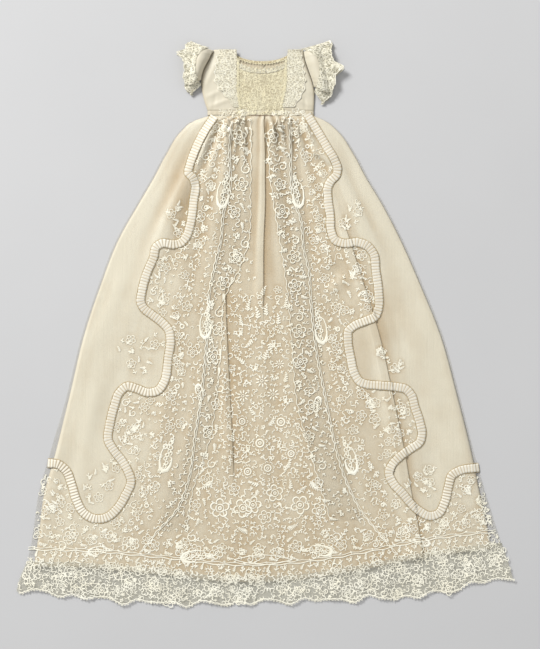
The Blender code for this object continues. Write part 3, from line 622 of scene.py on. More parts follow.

# %% [markdown]
# ## How high the silk lies
# The height of the front silk is a sum of simple shapes: a little air, the gathers, the steps of the laps, and a
# table of creases. Each crease is a line with a soft bell across it that fades at both ends. A positive height
# is a ridge and a negative one a trough; lean makes one side steeper.

# %% The table of creases
CREASES = {
    "head_x": (-0.084, -0.073, -0.066, -0.052, -0.050, -0.031, -0.040, -0.012, 0.005, 0.0135, 0.023, 0.018,
               0.037, 0.053, 0.045, 0.068, 0.083, 0.090, 0.108, 0.114, -0.104, -0.114, -0.130, -0.150,
               -0.190, 0.098, 0.118, 0.140, 0.235, 0.160, -0.300, -0.215, -0.160, -0.010, 0.020, -0.0655,
               -0.055, 0.200, 0.290, -0.255, 0.330, -0.365, 0.105, -0.135),
    "head_y": (0.366, 0.364, 0.366, 0.346, 0.366, 0.366, 0.362, 0.366, 0.366, 0.360, 0.364, 0.360,
               0.364, 0.366, 0.364, 0.364, 0.308, 0.294, 0.070, 0.052, 0.352, 0.350, 0.320, 0.280,
               0.150, 0.352, 0.318, 0.290, 0.030, 0.200, -0.100, -0.040, 0.020, -0.060, -0.040, -0.085,
               -0.210, -0.100, -0.180, 0.090, -0.100, -0.200, 0.010, -0.140),
    "foot_x": (-0.124, -0.106, -0.076, -0.062, -0.053, -0.030, -0.038, -0.010, 0.006, 0.022, 0.036, 0.027,
               0.047, 0.070, 0.057, 0.092, 0.124, 0.120, 0.148, 0.152, -0.200, -0.250, -0.275, -0.318,
               -0.335, 0.212, 0.270, 0.318, 0.362, 0.250, -0.362, -0.272, -0.205, -0.006, 0.030, -0.0585,
               -0.046, 0.252, 0.330, -0.330, 0.380, -0.392, 0.150, -0.175),
    "foot_y": (0.264, 0.272, 0.296, 0.308, 0.306, 0.262, 0.276, 0.130, 0.290, 0.318, 0.330, 0.322,
               0.296, 0.290, 0.296, 0.286, 0.282, 0.268, 0.100, 0.084, 0.150, 0.090, -0.050, -0.200,
               -0.290, 0.120, 0.010, -0.150, -0.300, 0.020, -0.400, -0.340, -0.300, -0.430, -0.400, -0.225,
               -0.340, -0.370, -0.400, -0.080, -0.330, -0.410, -0.200, -0.380),
    "half": (0.0060, 0.0048, 0.0050, 0.0034, 0.0046, 0.0040, 0.0056, 0.0110, 0.0030, 0.0034, 0.0036, 0.0026,
             0.0050, 0.0055, 0.0040, 0.0060, 0.0060, 0.0055, 0.0100, 0.0080, 0.0140, 0.0150, 0.0200, 0.0220,
             0.0200, 0.0140, 0.0180, 0.0210, 0.0190, 0.0150, 0.0150, 0.0140, 0.0120, 0.0120, 0.0110, 0.0060,
             0.0070, 0.0140, 0.0130, 0.0170, 0.0140, 0.0120, 0.0120, 0.0130),
    "height": (0.0042, -0.0026, 0.0030, -0.0032, 0.0030, -0.0022, 0.0026, 0.0010, -0.0034, 0.0036, 0.0036,
               -0.0024, 0.0030, 0.0028, -0.0022, 0.0030, 0.0036, -0.0020, -0.0024, 0.0020, 0.0022, -0.0014,
               0.0018, 0.0016, -0.0012, 0.0022, 0.0018, -0.0014, 0.0015, 0.0013, 0.0014, -0.0012, 0.0013,
               0.0010, -0.0010, -0.0016, -0.0014, 0.0014, -0.0011, 0.0012, 0.0013, 0.0010, 0.0012, -0.0010),
    "bend": (-0.004, -0.003, 0.001, 0.001, 0.0, 0.001, 0.0, 0.001, 0.0, -0.001, 0.001, 0.001,
             0.002, 0.002, 0.001, 0.003, 0.002, 0.002, 0.003, 0.002, 0.004, 0.006, 0.008, 0.010,
             0.006, -0.004, -0.008, -0.009, 0.006, -0.005, 0.004, -0.005, 0.004, 0.003, -0.003, 0.001,
             0.002, 0.004, -0.003, 0.006, 0.005, -0.003, 0.004, -0.005),
    "lean": (0.2, 0.0, 0.3, 0.0, 0.2, -0.3, 0.2, 0.4, 0.0, 0.2, 0.3, 0.0,
             0.2, 0.3, 0.0, 0.2, 0.4, 0.0, 0.2, 0.0, 0.3, 0.0, 0.3, 0.2,
             0.0, -0.3, -0.3, 0.0, 0.2, -0.2, 0.2, 0.0, 0.2, 0.3, 0.0, 0.0,
             0.2, 0.3, 0.0, 0.2, -0.2, 0.0, 0.2, 0.0),
}
CREASE_DEPTH = 1.4
GATHER_DEPTH = 0.8
# Broad waves all over: height, turns by x, turns by y, start.
WAVES = ((0.0005, 31.0, 9.0, 0.4), (0.0004, -22.0, 17.0, 1.9),
         (0.0003, 57.0, 21.0, 3.1), (0.0002, 90.0, -34.0, 0.7))


def creases(x, y):
    """The sum over the table: height, times a bell across the line, times a fade along it."""
    lift = np.zeros(np.broadcast(x, y).shape)
    for x0, y0, x1, y1, half, height, bend, lean in zip(*(CREASES[c] for c in (
            "head_x", "head_y", "foot_x", "foot_y", "half", "height", "bend", "lean"))):
        run = np.array([x1 - x0, y1 - y0])
        length = np.linalg.norm(run)
        run /= length
        along = ((x - x0) * run[0] + (y - y0) * run[1]) / length
        aside = (x - x0) * -run[1] + (y - y0) * run[0] - bend * 4 * along * (1 - along)
        fade = smooth_between(along, -0.06, 0.16) * (1.0 - smooth_between(along, 0.55, 1.05))
        lift += CREASE_DEPTH * height * fade * np.exp(-((aside / (half * (1 + lean * np.sign(aside)))) ** 2))
    for height, by_x, by_y, start in WAVES:
        lift += height * np.sin(by_x * x + by_y * y + start)
    return lift


def lap_steps(x, y):
    """How far the laps lift the silk: a slow climb, a flat top, and a quarter round at the edge."""
    lift = np.zeros(np.broadcast(x, y).shape)
    narrow = width_at(y) / HEM_WIDTH
    for lap, (route_y, route_x, route_down) in enumerate(LAP_ROUTES):
        past = (x - np.interp(y, route_y, route_x)) / narrow
        down = np.interp(y, route_y, route_down)
        starts, ends, depth = (LAPS[c][lap] for c in ("starts", "ends", "depth"))
        strength = smooth_between(down, starts, starts + 0.12) if starts > 0 else 1.0
        strength = strength * (1.0 - smooth_between(down, ends - 0.14, ends))
        climb = smooth_between(past, -depth - LAP_RUN, -depth)
        turned = np.clip((past + LAP_ROUND) / LAP_ROUND, 0.0, 1.0)
        lift += LAP_RISE * np.clip(2 * strength, 0, 1) * climb * np.sqrt(1.0 - turned ** 2)
    return lift


def satin_top(x, y):
    """The height of the front silk: all lifts over its laid height, rounded down at the side edges."""
    across, down = across_and_down(x, y)
    lift = PUFF * np.clip(1.0 - (2 * across - 1) ** 2, 0, 1) * (1.0 - smooth_between(down, 0.0, 0.45))
    for share, height, half, fades in zip(*(GATHERS[c] for c in ("share", "height", "half", "fades"))):
        bell = np.exp(-(((across - share) / half) ** 2))
        lift = lift + GATHER_DEPTH * height * bell * (1.0 - smooth_between(down, 0.12, fades))
    lift = lift + lap_steps(x, y) + creases(x, y)
    inside = np.minimum(x - edge("satin_left", y), edge("satin_right", y) - x) / EDGE_ROUND
    crown = np.sqrt(1.0 - (1.0 - np.clip(inside, 0.0, 1.0)) ** 2)
    top = np.maximum(FRONT_TOP + lift, EDGE_Z + 0.0006)
    return EDGE_Z + (top - EDGE_Z) * crown


print("creases:", len(CREASES["height"]))

# %% [markdown]
# ## The silk skirt
# The grid's columns follow the laps, with several close together at each lap's edge, so that the step is
# crisp. Between laps they are evenly spread. The rows run from the waist to the hem, each column ending
# on the hem's own curve.

# %% Columns and rows of the skirt
LAP_OFFSETS = (-0.0060, -0.0035, -0.0017, -0.0012, -0.0007, -0.0003, -0.0001, 0.00015, 0.0016)
SPREADS = (84, 24, 74, 38)
BESIDE_LEFT, BESIDE_RIGHT = 0.0090, 0.0040


def skirt_columns(thin=1):
    """For each column: the two lines that it lies between, how far over, and metres to the side."""
    columns = []
    for panel, count in enumerate(SPREADS):
        count = max(count // thin, 6)
        left = 0.0 if panel == 0 else BESIDE_RIGHT
        right = 0.0 if panel == len(SPREADS) - 1 else -BESIDE_LEFT
        for part in np.linspace(0.0, 1.0, count + 1):
            columns.append((panel, panel + 1, part, left * (1 - part) + right * part))
        if panel < len(SPREADS) - 1:
            columns += [(panel + 1, panel + 1, 0.0, offset) for offset in LAP_OFFSETS]
    return [np.array(column) for column in zip(*columns)]


def columns_x(columns, y):
    """x of every column at height y, which has a last axis of columns."""
    first, second, part, aside = columns
    y = np.broadcast_to(y, np.broadcast(y, part).shape)
    lines = [edge("satin_left", y)] + [np.interp(y, route[0], route[1]) for route in LAP_ROUTES]
    lines = np.stack(lines + [edge("satin_right", y)])
    from_line = np.take_along_axis(lines, np.broadcast_to(first, y.shape)[None].astype(int), 0)[0]
    to_line = np.take_along_axis(lines, np.broadcast_to(second, y.shape)[None].astype(int), 0)[0]
    return from_line + (to_line - from_line) * part + aside * width_at(y) / HEM_WIDTH


def skirt_plan(columns, rows, above_hem=0.0):
    """x and y of a grid over the skirt."""
    foot = foot_of(lambda y: columns_x(columns, y), above_hem)
    y = WAIST_Y + (foot - WAIST_Y) * np.linspace(0.0, 1.0, rows)[:, None]
    return columns_x(columns, y), y


def lap_shadow(x, y):
    """1 just right of a lap's edge, fading away from it: the painted shadow that the lap's edge casts on the
    silk.
    """
    tone = np.zeros(np.broadcast(x, y).shape)
    for lap, (route_y, route_x, route_down) in enumerate(LAP_ROUTES):
        past = x - np.interp(y, route_y, route_x)
        down = np.interp(y, route_y, route_down)
        shown = smooth_between(down, LAPS["starts"][lap] - 0.02, LAPS["starts"][lap] + 0.10)
        shown = shown * (1.0 - smooth_between(down, LAPS["ends"][lap] - 0.14, LAPS["ends"][lap]))
        tone = np.maximum(tone, shown * np.where(past > 0, np.exp(-past / 0.012), 0.0))
    return tone


def satin_tan(x, y):
    """Where the silk is deeper in tone: under the lace in the middle, near the hem and in two soft patches, with
    painted shadow beside the laps' edges, painted shade deep in one fold, and streaks of painted sheen and
    shade.
    """
    across, down = across_and_down(x, y)
    middle = smooth_between(across, 0.10, 0.36) * (1.0 - smooth_between(across, 0.70, 0.93))
    foot = smooth_between(down, 0.86, 0.97)
    # Painted shade, reddish brown, deep in the gap of the middle fold near the waist.
    gap_shade = np.exp(-((x - 0.0035) / 0.0035) ** 2 - ((y - 0.334) / 0.020) ** 2)
    # Two soft patches darker in tone, one left of the waist and one right of the middle.
    darker_patches = np.exp(-((x + 0.150) / 0.030) ** 2 - ((y - 0.240) / 0.085) ** 2)
    darker_patches += 0.5 * np.exp(-((x - 0.215) / 0.035) ** 2 - ((y - 0.020) / 0.050) ** 2)
    # Streaks across the width that fan from the waist: painted sheen and shade of soft folds.
    streaks = 0.05 * np.sin(150 * across + 3 * np.sin(37 * across)) + 0.04 * np.sin(83 * across + 1.0)
    # The laps' term is painted shadow beside each lap's edge.
    return 0.36 * middle + 0.08 * foot + 0.60 * lap_shadow(x, y) + 1.0 * gap_shade + 0.75 * darker_patches + streaks - 0.10


HOLLOW_REACH = 6
HOLLOW_DEPTH = 0.0011


def furrow_shade(height):
    """1 where a point lies lower than the mean of its row for some columns on each side, as in a furrow: a mask
    for painted shade.
    """
    padded = np.pad(height, ((0, 0), (HOLLOW_REACH, HOLLOW_REACH)), mode="edge")
    total = np.cumsum(np.pad(padded, ((0, 0), (1, 0))), axis=1)
    window = 2 * HOLLOW_REACH + 1
    mean = (total[:, window:] - total[:, :-window]) / window
    return np.clip((mean - height) / HOLLOW_DEPTH, -0.35, 1.0)


x, y = skirt_plan(skirt_columns(), 96)
top = satin_top(x, y)
# Painted shade in the furrows of the gathers in the upper skirt, added to the silk's tan.
tan = satin_tan(x, y) + 0.42 * furrow_shade(top) * smooth_between(y, 0.0, 0.2)
skirt_front = cloth("silk_skirt_front", np.stack([x, y, top], -1), WALLS["silk"], "skirt satin",
                    ["skirt_front"], tan=tan, flat=True)

# %% [markdown]
# The back of the skirt is cut like the front. It lies flat on the surface, with a few soft creases in its
# upper side, and is seen only past the front's edges.

# %% The back of the skirt
def plain_plan(left_column, right_column, columns, rows, above_hem):
    """x and y of a grid between two of the outline's edges."""
    x_at = between_edges(left_column, right_column, np.linspace(0.0, 1.0, columns))
    foot = foot_of(x_at, above_hem)
    y = WAIST_Y + (foot - WAIST_Y) * np.linspace(0.0, 1.0, rows)[:, None]
    return x_at(y), y


# Soft ridges of the back: x at the hem, half width, height.
BACK_CREASES = ((0.0, 0.010, 0.0005), (-0.12, 0.016, 0.0004), (0.15, 0.014, -0.0004),
                (-0.24, 0.018, 0.0004), (0.27, 0.016, 0.0004))
BACK_SILK_Z = 0.0016
BACK_NET_Z = 0.0005


def back_top(x, y, level):
    """The upper side of a back panel: level, with a few long soft ridges that fan from the waist."""
    across, down = across_and_down(x, y)
    lift = np.zeros(x.shape)
    for foot_x, half, height in BACK_CREASES:
        line = foot_x * (0.25 + 0.75 * down)
        lift += height * np.exp(-(((x - line) / half) ** 2)) * smooth_between(down, 0.02, 0.2)
    return level + np.clip(lift, -0.0003, 0.0004)


x, y = plain_plan("satin_left", "satin_right", 72, 60, 0.0)
skirt_back = cloth("silk_skirt_back", np.stack([x, y, back_top(x, y, BACK_SILK_Z)], -1), WALLS["silk"],
                   "skirt satin", ["skirt_back"], tan=0.15, flat=True)
x, y = plain_plan("net_left", "net_right", 72, 60, 0.018)
net_back = cloth("net_skirt_back", np.stack([x, y, np.full(x.shape, BACK_NET_Z)], -1), WALLS["back net"],
                 "skirt net", ["overskirt_back"], flat=True)

# %% [markdown]
# ## The net skirt
# The net follows the silk half a millimetre above it, and runs a little wider at the sides, where it lies on
# its own back. Its cells let the silk show through.

# %% The front of the net skirt
NET_ABOVE_HEM = 0.007
NET_Z = 0.0011


def net_top(x, y):
    """The height of the net: over the silk, and down onto the back net past the silk's edges."""
    past = np.maximum(edge("satin_left", y) - x, x - edge("satin_right", y))
    over = satin_top(x, y) + NET_LIFT
    return np.where(past > 0, NET_Z + (over - NET_Z) * np.exp(-np.maximum(past, 0) / 0.0035), over)


def net_plan(rows, above_hem):
    """The silk's grid, with more columns past its two sides."""
    x, y = skirt_plan(skirt_columns(thin=2), rows, above_hem)
    steps = np.linspace(0.0, 1.0, 7)[:-1]
    left, right = edge("net_left", y[:, :1]), edge("net_right", y[:, -1:])
    x = np.hstack([left + (x[:, :1] - left) * steps, x, right + (x[:, -1:] - right) * steps[::-1]])
    y = np.hstack([np.repeat(y[:, :1], len(steps), 1), y, np.repeat(y[:, -1:], len(steps), 1)])
    return x, y


x, y = net_plan(104, NET_ABOVE_HEM)
net_front = cloth("net_skirt_front", np.stack([x, y, net_top(x, y)], -1), WALLS["net"], "skirt net",
                  ["overskirt_front"], flat=True)

# %% [markdown]
# ## The lace bands and the flounce
# A band of finer, denser net falls from the waist on each side, bunched where it is sewn in.

# %% Bands of net
BANDS = {
    "left": {
        "y": (-0.374, -0.320, -0.284, -0.212, -0.122, -0.032, 0.048, 0.098, 0.140, 0.239, 0.366),
        "inner": (-0.140, -0.133, -0.124, -0.099, -0.085, -0.077, -0.070, -0.044, -0.030, -0.025, -0.024),
        "outer": (-0.187, -0.178, -0.166, -0.142, -0.119, -0.108, -0.099, -0.090, -0.081, -0.076, -0.066),
    },
    "right": {
        "y": (-0.356, -0.284, -0.212, -0.140, -0.050, 0.040, 0.140, 0.239, 0.330, 0.366),
        "inner": (0.119, 0.097, 0.076, 0.058, 0.050, 0.043, 0.029, 0.013, 0.010, 0.022),
        "outer": (0.176, 0.155, 0.133, 0.115, 0.101, 0.088, 0.079, 0.068, 0.060, 0.056),
    },
}
BAND_LIFT = 0.0007


def bunching(x, y):
    """Small flutes at the waist that fade out below it, where the band is gathered into its seam."""
    strength = smooth_between(y, 0.300, 0.350)
    return strength * (0.0020 + 0.0019 * np.sin(x * 620.0 + 2.2 * np.sin(y * 150.0)))


def band_share(side, x, y):
    """0 at the band's inner edge and 1 at its outer edge."""
    table = BANDS[side]
    inner, outer = through(y, table["y"], table["inner"]), through(y, table["y"], table["outer"])
    return (x - inner) / (outer - inner)


def lace_ground(x, y):
    """The height of whatever net is uppermost, for the threads that lie on it."""
    top = net_top(x, y)
    for side in BANDS:
        share = band_share(side, x, y)
        low, high = BANDS[side]["y"][0], BANDS[side]["y"][-1]
        inside = (share > -0.06) & (share < 1.06) & (y > low) & (y < high + 0.01)
        top = np.where(inside, np.maximum(top, net_top(x, y) + BAND_LIFT + bunching(x, y)), top)
    return top


def make_band(side):
    """Between its two edges, the inner one scalloped: columns spread evenly across."""
    table = BANDS[side]
    y = np.linspace(table["y"][-1], table["y"][0], 190)[:, None]
    inner, outer = through(y, table["y"], table["inner"]), through(y, table["y"], table["outer"])
    scallop = 0.0022 * np.abs(np.sin(y * math.pi / 0.021))
    inner = inner + np.sign(outer - inner) * scallop
    x = inner + (outer - inner) * np.linspace(0.0, 1.0, 22)[None, :]
    rows = np.repeat(y, x.shape[1], axis=1)
    height = net_top(x, rows) + BAND_LIFT + bunching(x, rows)
    return cloth(f"lace_band_net_{side}", np.stack([x, rows, height], -1), WALLS["band net"], "band net",
                 [f"lace_band_{side}"], flat=True)


bands = {side: make_band(side) for side in BANDS}

# %% [markdown]
# Below the skirt a flounce of lace lies in shallow flutes. Its edge hangs in uneven lobes, each with small
# scallops: three slow sine waves under a row of small arches.

# %% The flounce
# Waves of the edge: how many in LOBE_SPAN metres, height, start.
LOBES = ((21.0, 0.0032, 0.4), (12.5, 0.0024, 1.7), (33.0, 0.0012, 2.6))
LOBE_SPAN = 1.25
SCALLOP_LONG = 0.0105
SCALLOP_DEEP = 0.0016


def flounce_edge(x):
    """The flounce's edge: the hem's curve, plus three sine waves for the lobes, plus small scallops."""
    y = lace_hem(x) - 0.0005
    for count, height, start in LOBES:
        y = y + height * np.sin(2 * math.pi * count / LOBE_SPAN * x + start)
    return y - SCALLOP_DEEP * np.abs(np.sin(math.pi * x / SCALLOP_LONG))


def flounce_top(x, y):
    """Over the silk's hem, then down near the surface, with flutes that grow towards the edge."""
    hem = satin_hem(x)
    below = smooth_between(hem - y, -0.004, 0.012)
    over = net_top(x, np.maximum(y, hem + 0.001)) + 0.0006
    flutes = 0.5 + 0.5 * np.sin(x * 118.0 + 1.3 * np.sin(x * 37.0))
    low = 0.0022 + 0.0030 * flutes * smooth_between(hem - y, 0.0, 0.03)
    return over * (1.0 - below) + low * below


def flounce_plan(rows, columns):
    """A grid from the flounce's head to its edge, between the net's two side edges."""
    x_at = between_edges("net_left", "net_right", np.linspace(0.0, 1.0, columns))
    head = foot_of(x_at, NET_ABOVE_HEM + 0.002)
    foot = flounce_edge(x_at(-0.49))
    y = head + (foot - head) * np.linspace(0.0, 1.0, rows)[:, None]
    return x_at(y), y


x, y = flounce_plan(17, 560)
flounce_front = cloth("lace_flounce_front", np.stack([x, y, flounce_top(x, y)], -1), WALLS["net"],
                      "flounce net", ["hem_lace_front"], flat=True)
x, y = flounce_plan(13, 300)
y = y - 0.003 * smooth_between(-y, 0.46, 0.49) * np.sin(x * 61.0)
back_flutes = 0.0006 + 0.0006 * (1 + np.sin(x * 96.0)) * smooth_between(-y, 0.45, 0.49)
flounce_back = cloth("lace_flounce_back", np.stack([x, y, back_flutes], -1), WALLS["back net"],
                     "flounce net", ["hem_lace_back"], flat=True)

# %% [markdown]
# ## Drawing with thread
# The lace's figures are worked in thicker thread that stands on the net. Each stroke is a short line with a
# half width at every point, and becomes a thin three-sided bar: a left edge, a right edge and a raised top.
# A motif is a handful of strokes in its own small frame, one unit tall. Copies of it are turned, scaled and
# moved as whole arrays.

# %% Strokes and motifs
THREAD_HALF = 0.00052
THREAD_MOST = 0.0006
STROKE_POINTS = 12
CORD_STEP = 0.0022


def bow(count, radius, start, end, centre=(0.0, 0.0), squash=1.0):
    """An arc of a circle from one angle to another, in degrees."""
    angle = np.radians(np.linspace(start, end, count))
    return np.stack([centre[0] + radius * np.cos(angle), centre[1] + squash * radius * np.sin(angle)], -1)


def thread(points, half, ends=0.45):
    """A stroke with its half width fullest in the middle and narrower at the ends."""
    t = np.linspace(0.0, 1.0, len(points))
    return np.asarray(points, float), half * (ends + (1 - ends) * np.sin(math.pi * t))


def leaf(start, angle, length, fat):
    """A pointed leaf as one short fat stroke."""
    way = np.array([math.cos(math.radians(angle)), math.sin(math.radians(angle))])
    at = np.array([0.0, 0.35, 0.75, 1.0])[:, None]
    return np.asarray(start) + at * way * length, fat * np.array([0.35, 1.0, 0.8, 0.12])


def on_circle(radius, degrees):
    return radius * np.array([math.cos(math.radians(degrees)), math.sin(math.radians(degrees))])


def rose():
    """A ring, three arcs round it and five petals outside."""
    strokes = [thread(bow(7, 0.16, 0, 360), 0.075, 1.0)]
    strokes += [thread(bow(6, 0.42, turn + 10, turn + 128), 0.07) for turn in (0, 120, 240)]
    for turn in range(18, 360, 72):
        strokes.append(thread(bow(7, 0.37, turn - 122, turn + 122, on_circle(0.63, turn)), 0.085))
    return strokes


def daisy():
    """A ring with nine pointed petals."""
    strokes = [thread(bow(7, 0.22, 0, 360), 0.07, 1.0)]
    return strokes + [leaf(on_circle(0.40, turn), turn, 0.62, 0.13) for turn in np.arange(9) * 360 / 9]


def ring_flower():
    """Two rings with eight scalloped petals round them."""
    strokes = [thread(bow(7, 0.18, 0, 360), 0.08, 1.0), thread(bow(12, 0.50, 0, 360), 0.10, 1.0)]
    for turn in np.arange(8) * 360 / 8:
        strokes.append(thread(bow(5, 0.22, turn - 95, turn + 95, on_circle(0.78, turn)), 0.07))
    return strokes


def spray(pairs=4, sway=0.35, fat=0.085):
    """A bowed stem with leaves on both sides that shorten towards its tip."""
    def stem(t):
        return np.stack([sway * t * t, t], -1)
    strokes = [thread(stem(np.linspace(0, 1, 7)), 0.045)]
    for i in range(pairs):
        t = 0.12 + 0.74 * i / max(pairs - 1, 1)
        lean = 90 - math.degrees(math.atan(2 * sway * t))
        for side in (-1, 1):
            strokes.append(leaf(stem(t + 0.04 * side), lean + side * 52, 0.36 * (1 - 0.45 * t), fat))
    return strokes + [leaf(stem(1.0), 90 - math.degrees(math.atan(2 * sway)), 0.26, fat)]


def fern():
    return spray(pairs=6, sway=0.5, fat=0.05)


def blossom_spray():
    """A forked stem with three small open flowers and leaves between them."""
    strokes = [thread(bow(6, 1.1, 180, 130, (1.1, 0.0)), 0.05),
               thread(bow(5, 0.7, 0, 55, (-0.7, 0.15)), 0.045)]
    for x, y, r in ((0.42, 0.88, 0.20), (-0.30, 0.78, 0.17), (0.28, 0.45, 0.15)):
        strokes.append(thread(bow(7, r, 0, 360, (x, y)), 0.065, 1.0))
        for a in (0.3, 1.9, 3.4, 5.0):
            start = (x + 1.15 * r * math.cos(a), y + 1.15 * r * math.sin(a))
            strokes.append(leaf(start, math.degrees(a), 0.14, 0.06))
    return strokes + [leaf((0.06, 0.22), 160, 0.30, 0.075), leaf((0.14, 0.40), 20, 0.26, 0.075),
                      leaf((-0.12, 0.50), 150, 0.26, 0.07)]


def scroll():
    """A spiral: the radius shrinks as the angle grows."""
    t = np.linspace(0.0, 1.0, 12)
    radius, angle = 0.85 * (1 - t) ** 0.8 + 0.14, math.radians(-100) + t * math.radians(450)
    points = np.stack([radius * np.cos(angle) * 0.8, 0.5 + radius * np.sin(angle) * 0.75], -1)
    return [thread(points, 0.10, 0.5), leaf((-0.15, -0.35), 200, 0.42, 0.09)]


def crescent():
    """A horn: a long thin arm, a thick foot and a short arm, with a plume of loops and beads inside."""
    horn = ((-0.04, 1.55), (-0.30, 1.30), (-0.42, 0.80), (-0.40, 0.20), (-0.26, -0.25), (0.0, -0.46),
            (0.27, -0.32), (0.42, 0.05), (0.45, 0.55))
    strokes = [(np.array(horn), np.array((0.03, 0.035, 0.045, 0.06, 0.11, 0.15, 0.13, 0.09, 0.03)))]
    for i, y in enumerate(np.linspace(-0.12, 1.9, 8)):
        strokes.append(thread(bow(6, 0.12, 0, 360, (0.05 + 0.09 * math.sin(2.1 * i), y), 1.2), 0.045, 1.0))
    for i, y in enumerate(np.linspace(0.5, 2.1, 5)):
        strokes.append(thread(bow(5, 0.16, -80, 120, (0.26 - 0.06 * i, y)), 0.05))
    return strokes


def sprig():
    return [thread([(0, 0), (0.06, 0.3), (0.05, 0.62)], 0.06), leaf((0.03, 0.22), 150, 0.50, 0.13),
            leaf((0.05, 0.34), 32, 0.50, 0.13), leaf((0.05, 0.62), 88, 0.48, 0.13)]


def curl():
    return [thread(bow(6, 0.5, -40, 215), 0.13, 0.6)]


def wave():
    t = np.linspace(0.0, 1.0, 8)
    return [thread(np.stack([0.42 * np.sin(2 * math.pi * t), 1.7 * (t - 0.5)], -1), 0.13, 0.6)]


def seed():
    return [leaf((-0.5, 0.0), 0, 1.0, 0.24)]


def eyelet():
    return [thread(bow(7, 0.42, 0, 360), 0.14, 1.0)]


MOTIFS = {"rose": rose(), "daisy": daisy(), "ring_flower": ring_flower(), "spray": spray(), "fern": fern(),
          "blossom": blossom_spray(), "scroll": scroll(), "crescent": crescent(), "sprig": sprig(),
          "curl": curl(), "wave": wave(), "seed": seed(), "eyelet": eyelet()}
print({name: sum(len(points) - 1 for points, _ in strokes) for name, strokes in MOTIFS.items()}, "segments")

# %% [markdown]
# Figures are placed in three ways: one by one, in a chain along a curve, or scattered on a shaken lattice
# wherever a map of the cloth is still empty. Cords are long lines cut into short strokes.

# %% Placing motifs
def placed(name, x, y, turn, size, hand=1.0):
    """Copies of a motif at places, turned in degrees, sizes in metres; hand is -1 for a mirrored one."""
    x, y, turn, size, hand = (np.atleast_1d(np.asarray(v, float)) for v in (x, y, turn, size, hand))
    x, y, turn, size, hand = np.broadcast_arrays(x, y, np.radians(turn), size, hand)
    if not len(x):
        return []
    c, s = (size * np.cos(turn))[:, None], (size * np.sin(turn))[:, None]
    strokes = []
    for points, half in MOTIFS[name]:
        across, up = points[None, :, 0] * hand[:, None], points[None, :, 1]
        plan = np.stack([x[:, None] + c * across - s * up, y[:, None] + s * across + c * up], -1)
        strokes.append((plan, np.maximum(size[:, None] * half[None, :], THREAD_HALF)))
    return strokes


def smooth_route(points, step):
    """Even points on a smooth curve through a few given ones, and the curve's direction at each."""
    points = np.asarray(points, float)
    along = np.concatenate([[0.0], np.cumsum(np.linalg.norm(np.diff(points, axis=0), axis=1))])
    at = np.linspace(0.0, along[-1], max(int(round(along[-1] / step)) + 1, 3))
    line = np.stack([through(at, along, points[:, k]) for k in (0, 1)], axis=1)
    run = np.gradient(line, axis=0)
    return line, run / np.linalg.norm(run, axis=1, keepdims=True)


def cut_in_strokes(line, half):
    """A line of points cut into strokes of a dozen points or fewer, which share their ends."""
    pieces = [line[i:i + STROKE_POINTS] for i in range(0, len(line) - 1, STROKE_POINTS - 1)]
    return [(piece[None], np.full((1, len(piece)), half)) for piece in pieces]


def cord(points, half, sway=0.0, waves=0.0):
    """A long thread through a few points; sway is how far it swings aside, in waves to the metre."""
    line, run = smooth_route(points, CORD_STEP)
    aside = np.stack([-run[:, 1], run[:, 0]], -1)
    along = np.arange(len(line)) * CORD_STEP
    line = line + aside * (sway * np.sin(along * 2 * math.pi * waves))[:, None]
    return cut_in_strokes(line, half)


def chain(route, step, kinds, size, aside, turn, hand=1.0, sides=True, seed_value=1):
    """Motifs along a curve, taking kinds in turn, leaning to one side and the other of it."""
    random = np.random.default_rng(seed_value)
    line, run = smooth_route(route, step)
    i = np.arange(len(line))
    side = np.where(i % 2 == 0, 1.0, -1.0) if sides else np.ones(len(line))
    normal = np.stack([-run[:, 1], run[:, 0]], -1)
    place = line + normal * (aside * side)[:, None] + random.normal(0, 0.0008, line.shape)
    heading = np.degrees(np.arctan2(run[:, 1], run[:, 0])) - 90
    angle = heading + turn * side + random.uniform(-14, 14, len(line))
    scale = size * random.uniform(0.86, 1.12, len(line))
    strokes = []
    for k, kind in enumerate(kinds):
        pick = i % len(kinds) == k
        strokes += placed(kind, place[pick, 0], place[pick, 1], angle[pick], scale[pick], hand * side[pick])
    return strokes


CELL = 0.002
MAP_LOW = np.array([-0.50, -0.54])
MAP_SIZE = (500, 540)
FIELD_LOW, FIELD_HIGH = (-0.48, -0.53), (0.48, 0.38)


def occupied(strokes, spread):
    """A map of 2 mm cells, True where strokes lie, grown by a few cells all round."""
    full = np.zeros(MAP_SIZE, bool)
    for points, _ in strokes:
        cell = cells_of(points.reshape(-1, 2))
        full[cell[:, 0], cell[:, 1]] = True
    for _ in range(spread):
        full[1:] |= full[:-1].copy()
        full[:-1] |= full[1:].copy()
        full[:, 1:] |= full[:, :-1].copy()
        full[:, :-1] |= full[:, 1:].copy()
    return full


def cells_of(points):
    """The map cell of every place, as two whole numbers."""
    return np.clip(((points - MAP_LOW) / CELL).astype(int), 0, np.array(MAP_SIZE) - 1)


